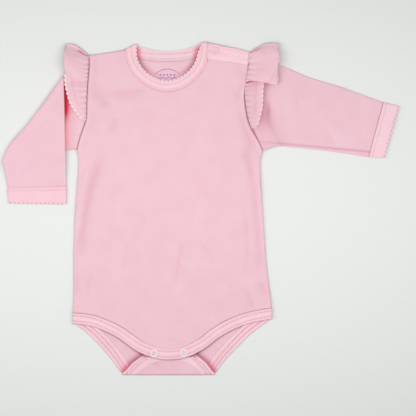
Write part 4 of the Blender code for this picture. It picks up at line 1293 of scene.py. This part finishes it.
def ringSnap(name, x, y, z):
    # an open ring: a short cylinder, pierced, with its rims rounded and a groove turned in its face
    radius, height = snapLook["radius"], snapLook["height"]
    top = (z + height - 0.05) * mm
    bpy.ops.object.select_all(action="DESELECT")
    bpy.ops.mesh.primitive_cylinder_add(
        vertices=48, radius=radius * mm, depth=height * mm, location=(x * mm, y * mm, (z + height / 2) * mm)
    )
    ring = bpy.context.active_object
    ring.name = name
    bpy.ops.object.transform_apply(location=True, rotation=True, scale=True)
    selectFaces(ring, lambda face: abs(face.normal.z) > 0.9)
    bpy.ops.mesh.inset(thickness=(radius - snapLook["hole"]) * mm)
    bpy.ops.mesh.bridge_edge_loops()
    bpy.ops.mesh.select_all(action="DESELECT")
    bpy.ops.object.mode_set(mode="OBJECT")
    bevel = ring.modifiers.new("rims", "BEVEL")
    bevel.width = snapLook["rim"] * mm
    bevel.segments = 4
    bevel.limit_method = "ANGLE"
    bevel.angle_limit = math.radians(50)
    bpy.ops.object.modifier_apply(modifier="rims")
    selectFaces(ring, lambda face: face.normal.z > 0.99 and face.calc_center_median().z > top)
    bpy.ops.mesh.inset(thickness=snapLook["groove"] * mm)
    bpy.ops.transform.translate(value=(0, 0, -snapLook["grooveDepth"] * mm))
    bpy.ops.object.mode_set(mode="OBJECT")
    bpy.ops.object.shade_smooth_by_angle(angle=math.radians(40))
    ring.data.materials.clear()
    ring.data.materials.append(snapPlastic)
    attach(ring, "root")
    return ring


for spot, (shift, sunk) in snapLook["places"].items():
    cap = "snap_cap_" + spot
    low, high = (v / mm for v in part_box(cap))
    middle = (low + high) / 2
    ring = ringSnap("ring_snap_" + spot, middle.x, middle.y + shift, low.z - sunk)
    if spot == "shoulder":  # this one is dyed to match the cloth
        ring.data.materials[0] = pinkPlastic
    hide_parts(cap)
for name, node in nodes.items():
    if name.startswith(("snap_socket", "snap_stud")):
        node.data.materials.clear()
        node.data.materials.append(snapPlastic)
print("ring snaps")

# the table, the light and the camera straight above
studio = dict(lens=120.0, sensor=36.0, centre=(44.3, 1.15), width=478.4, table=6.0, world=0.46)
bpy.ops.mesh.primitive_plane_add(size=studio["table"], location=(0, 0, -0.0002))
table = bpy.context.object
table.name = "table"
# matt paper: a cool off-white with a faint tooth of fibres
paper, tree, shader, fibre = mottled("matt_white_paper", "#DBDDDB", "#E0E2E0", 260.0, 4.0)
tooth = addNode(tree, "ShaderNodeBump", {"Strength": 0.1, "Distance": 0.0002}, {"Height": fibre.outputs[0]})
tree.links.new(tooth.outputs[0], shader.inputs["Normal"])
shader.inputs["Roughness"].default_value = 0.9
table.data.materials.append(paper)
bpy.ops.object.select_all(action="DESELECT")

world = bpy.data.worlds.new("studio")
bpy.context.scene.world = world
world.use_nodes = True
world.node_tree.nodes["Background"].inputs["Color"].default_value = linear("#FFFFFF")
world.node_tree.nodes["Background"].inputs["Strength"].default_value = studio["world"]

# one wide, shallow soft box over the upper half
key = dict(place=(-0.07, 0.02, 0.60), size=(1.3, 0.22), power=4.3)
light = bpy.data.lights.new("key", "AREA")
light.shape = "RECTANGLE"
light.size, light.size_y = key["size"]
light.energy = key["power"]
lamp = bpy.data.objects.new("key", light)
bpy.context.scene.collection.objects.link(lamp)
lamp.location = key["place"]
lamp.visible_camera = False

camera = bpy.data.objects.new("camera", bpy.data.cameras.new("camera"))
bpy.context.scene.collection.objects.link(camera)
camera.data.lens = studio["lens"]
camera.data.sensor_width = studio["sensor"]
camera.data.clip_start = 0.01
distance = studio["width"] * mm * studio["lens"] / studio["sensor"]
camera.location = (studio["centre"][0] * mm, studio["centre"][1] * mm, distance)
bpy.context.scene.camera = camera
bpy.context.scene.view_settings.view_transform = "Standard"

# each piece of cloth, as it was cut: how it is held, what it lies on, and what is sewn to it
cloth = dict(
    back_panel=("laid", "neckband_back_shell", "neck_print"),
    neckband_back_shell=("laid", "back_panel", "neckband_back_stitches neckband_back_edging"),
    leg_binding_back_left_shell=("folded", "back_panel", "leg_binding_back_left_stitches"),
    leg_binding_back_right_shell=("folded", "back_panel", "leg_binding_back_right_stitches"),
    front_panel=("laid", "back_panel", "armhole_allowance_left armhole_allowance_right"),
    neckband_front_shell=(
        "laid", "front_panel", "neckband_front_stitches neckband_front_edging neck_allowance"
    ),
    shoulder_placket_shell=("laid", "back_panel", "shoulder_placket_stitches"),
    leg_binding_front_shell=("laid", "back_panel", "leg_binding_front_stitches hem_allowance"),
    sleeve_right_shell=("laid", "front_panel", ""),
    sleeve_left_shell=("folded", "front_panel", ""),
    cuff_right_shell=("laid", "sleeve_right_shell", "cuff_right_shell_stitches cuff_right_shell_edging"),
    cuff_left_shell=("folded", "sleeve_left_shell", "cuff_left_shell_stitches cuff_left_shell_edging"),
    ruffle_left_shell=("gathered", "sleeve_left_shell", "ruffle_left_stitches ruffle_left_edging"),
    ruffle_right_shell=("gathered", "sleeve_right_shell", "ruffle_right_stitches ruffle_right_edging"),
)
for name, (held, under, sewnOn) in cloth.items():
    width, length, area = cuts[name]
    area = min(area, width * length)
    print("cut", name, round(width * 1000), round(length * 1000), round(area * 1e4, 1))
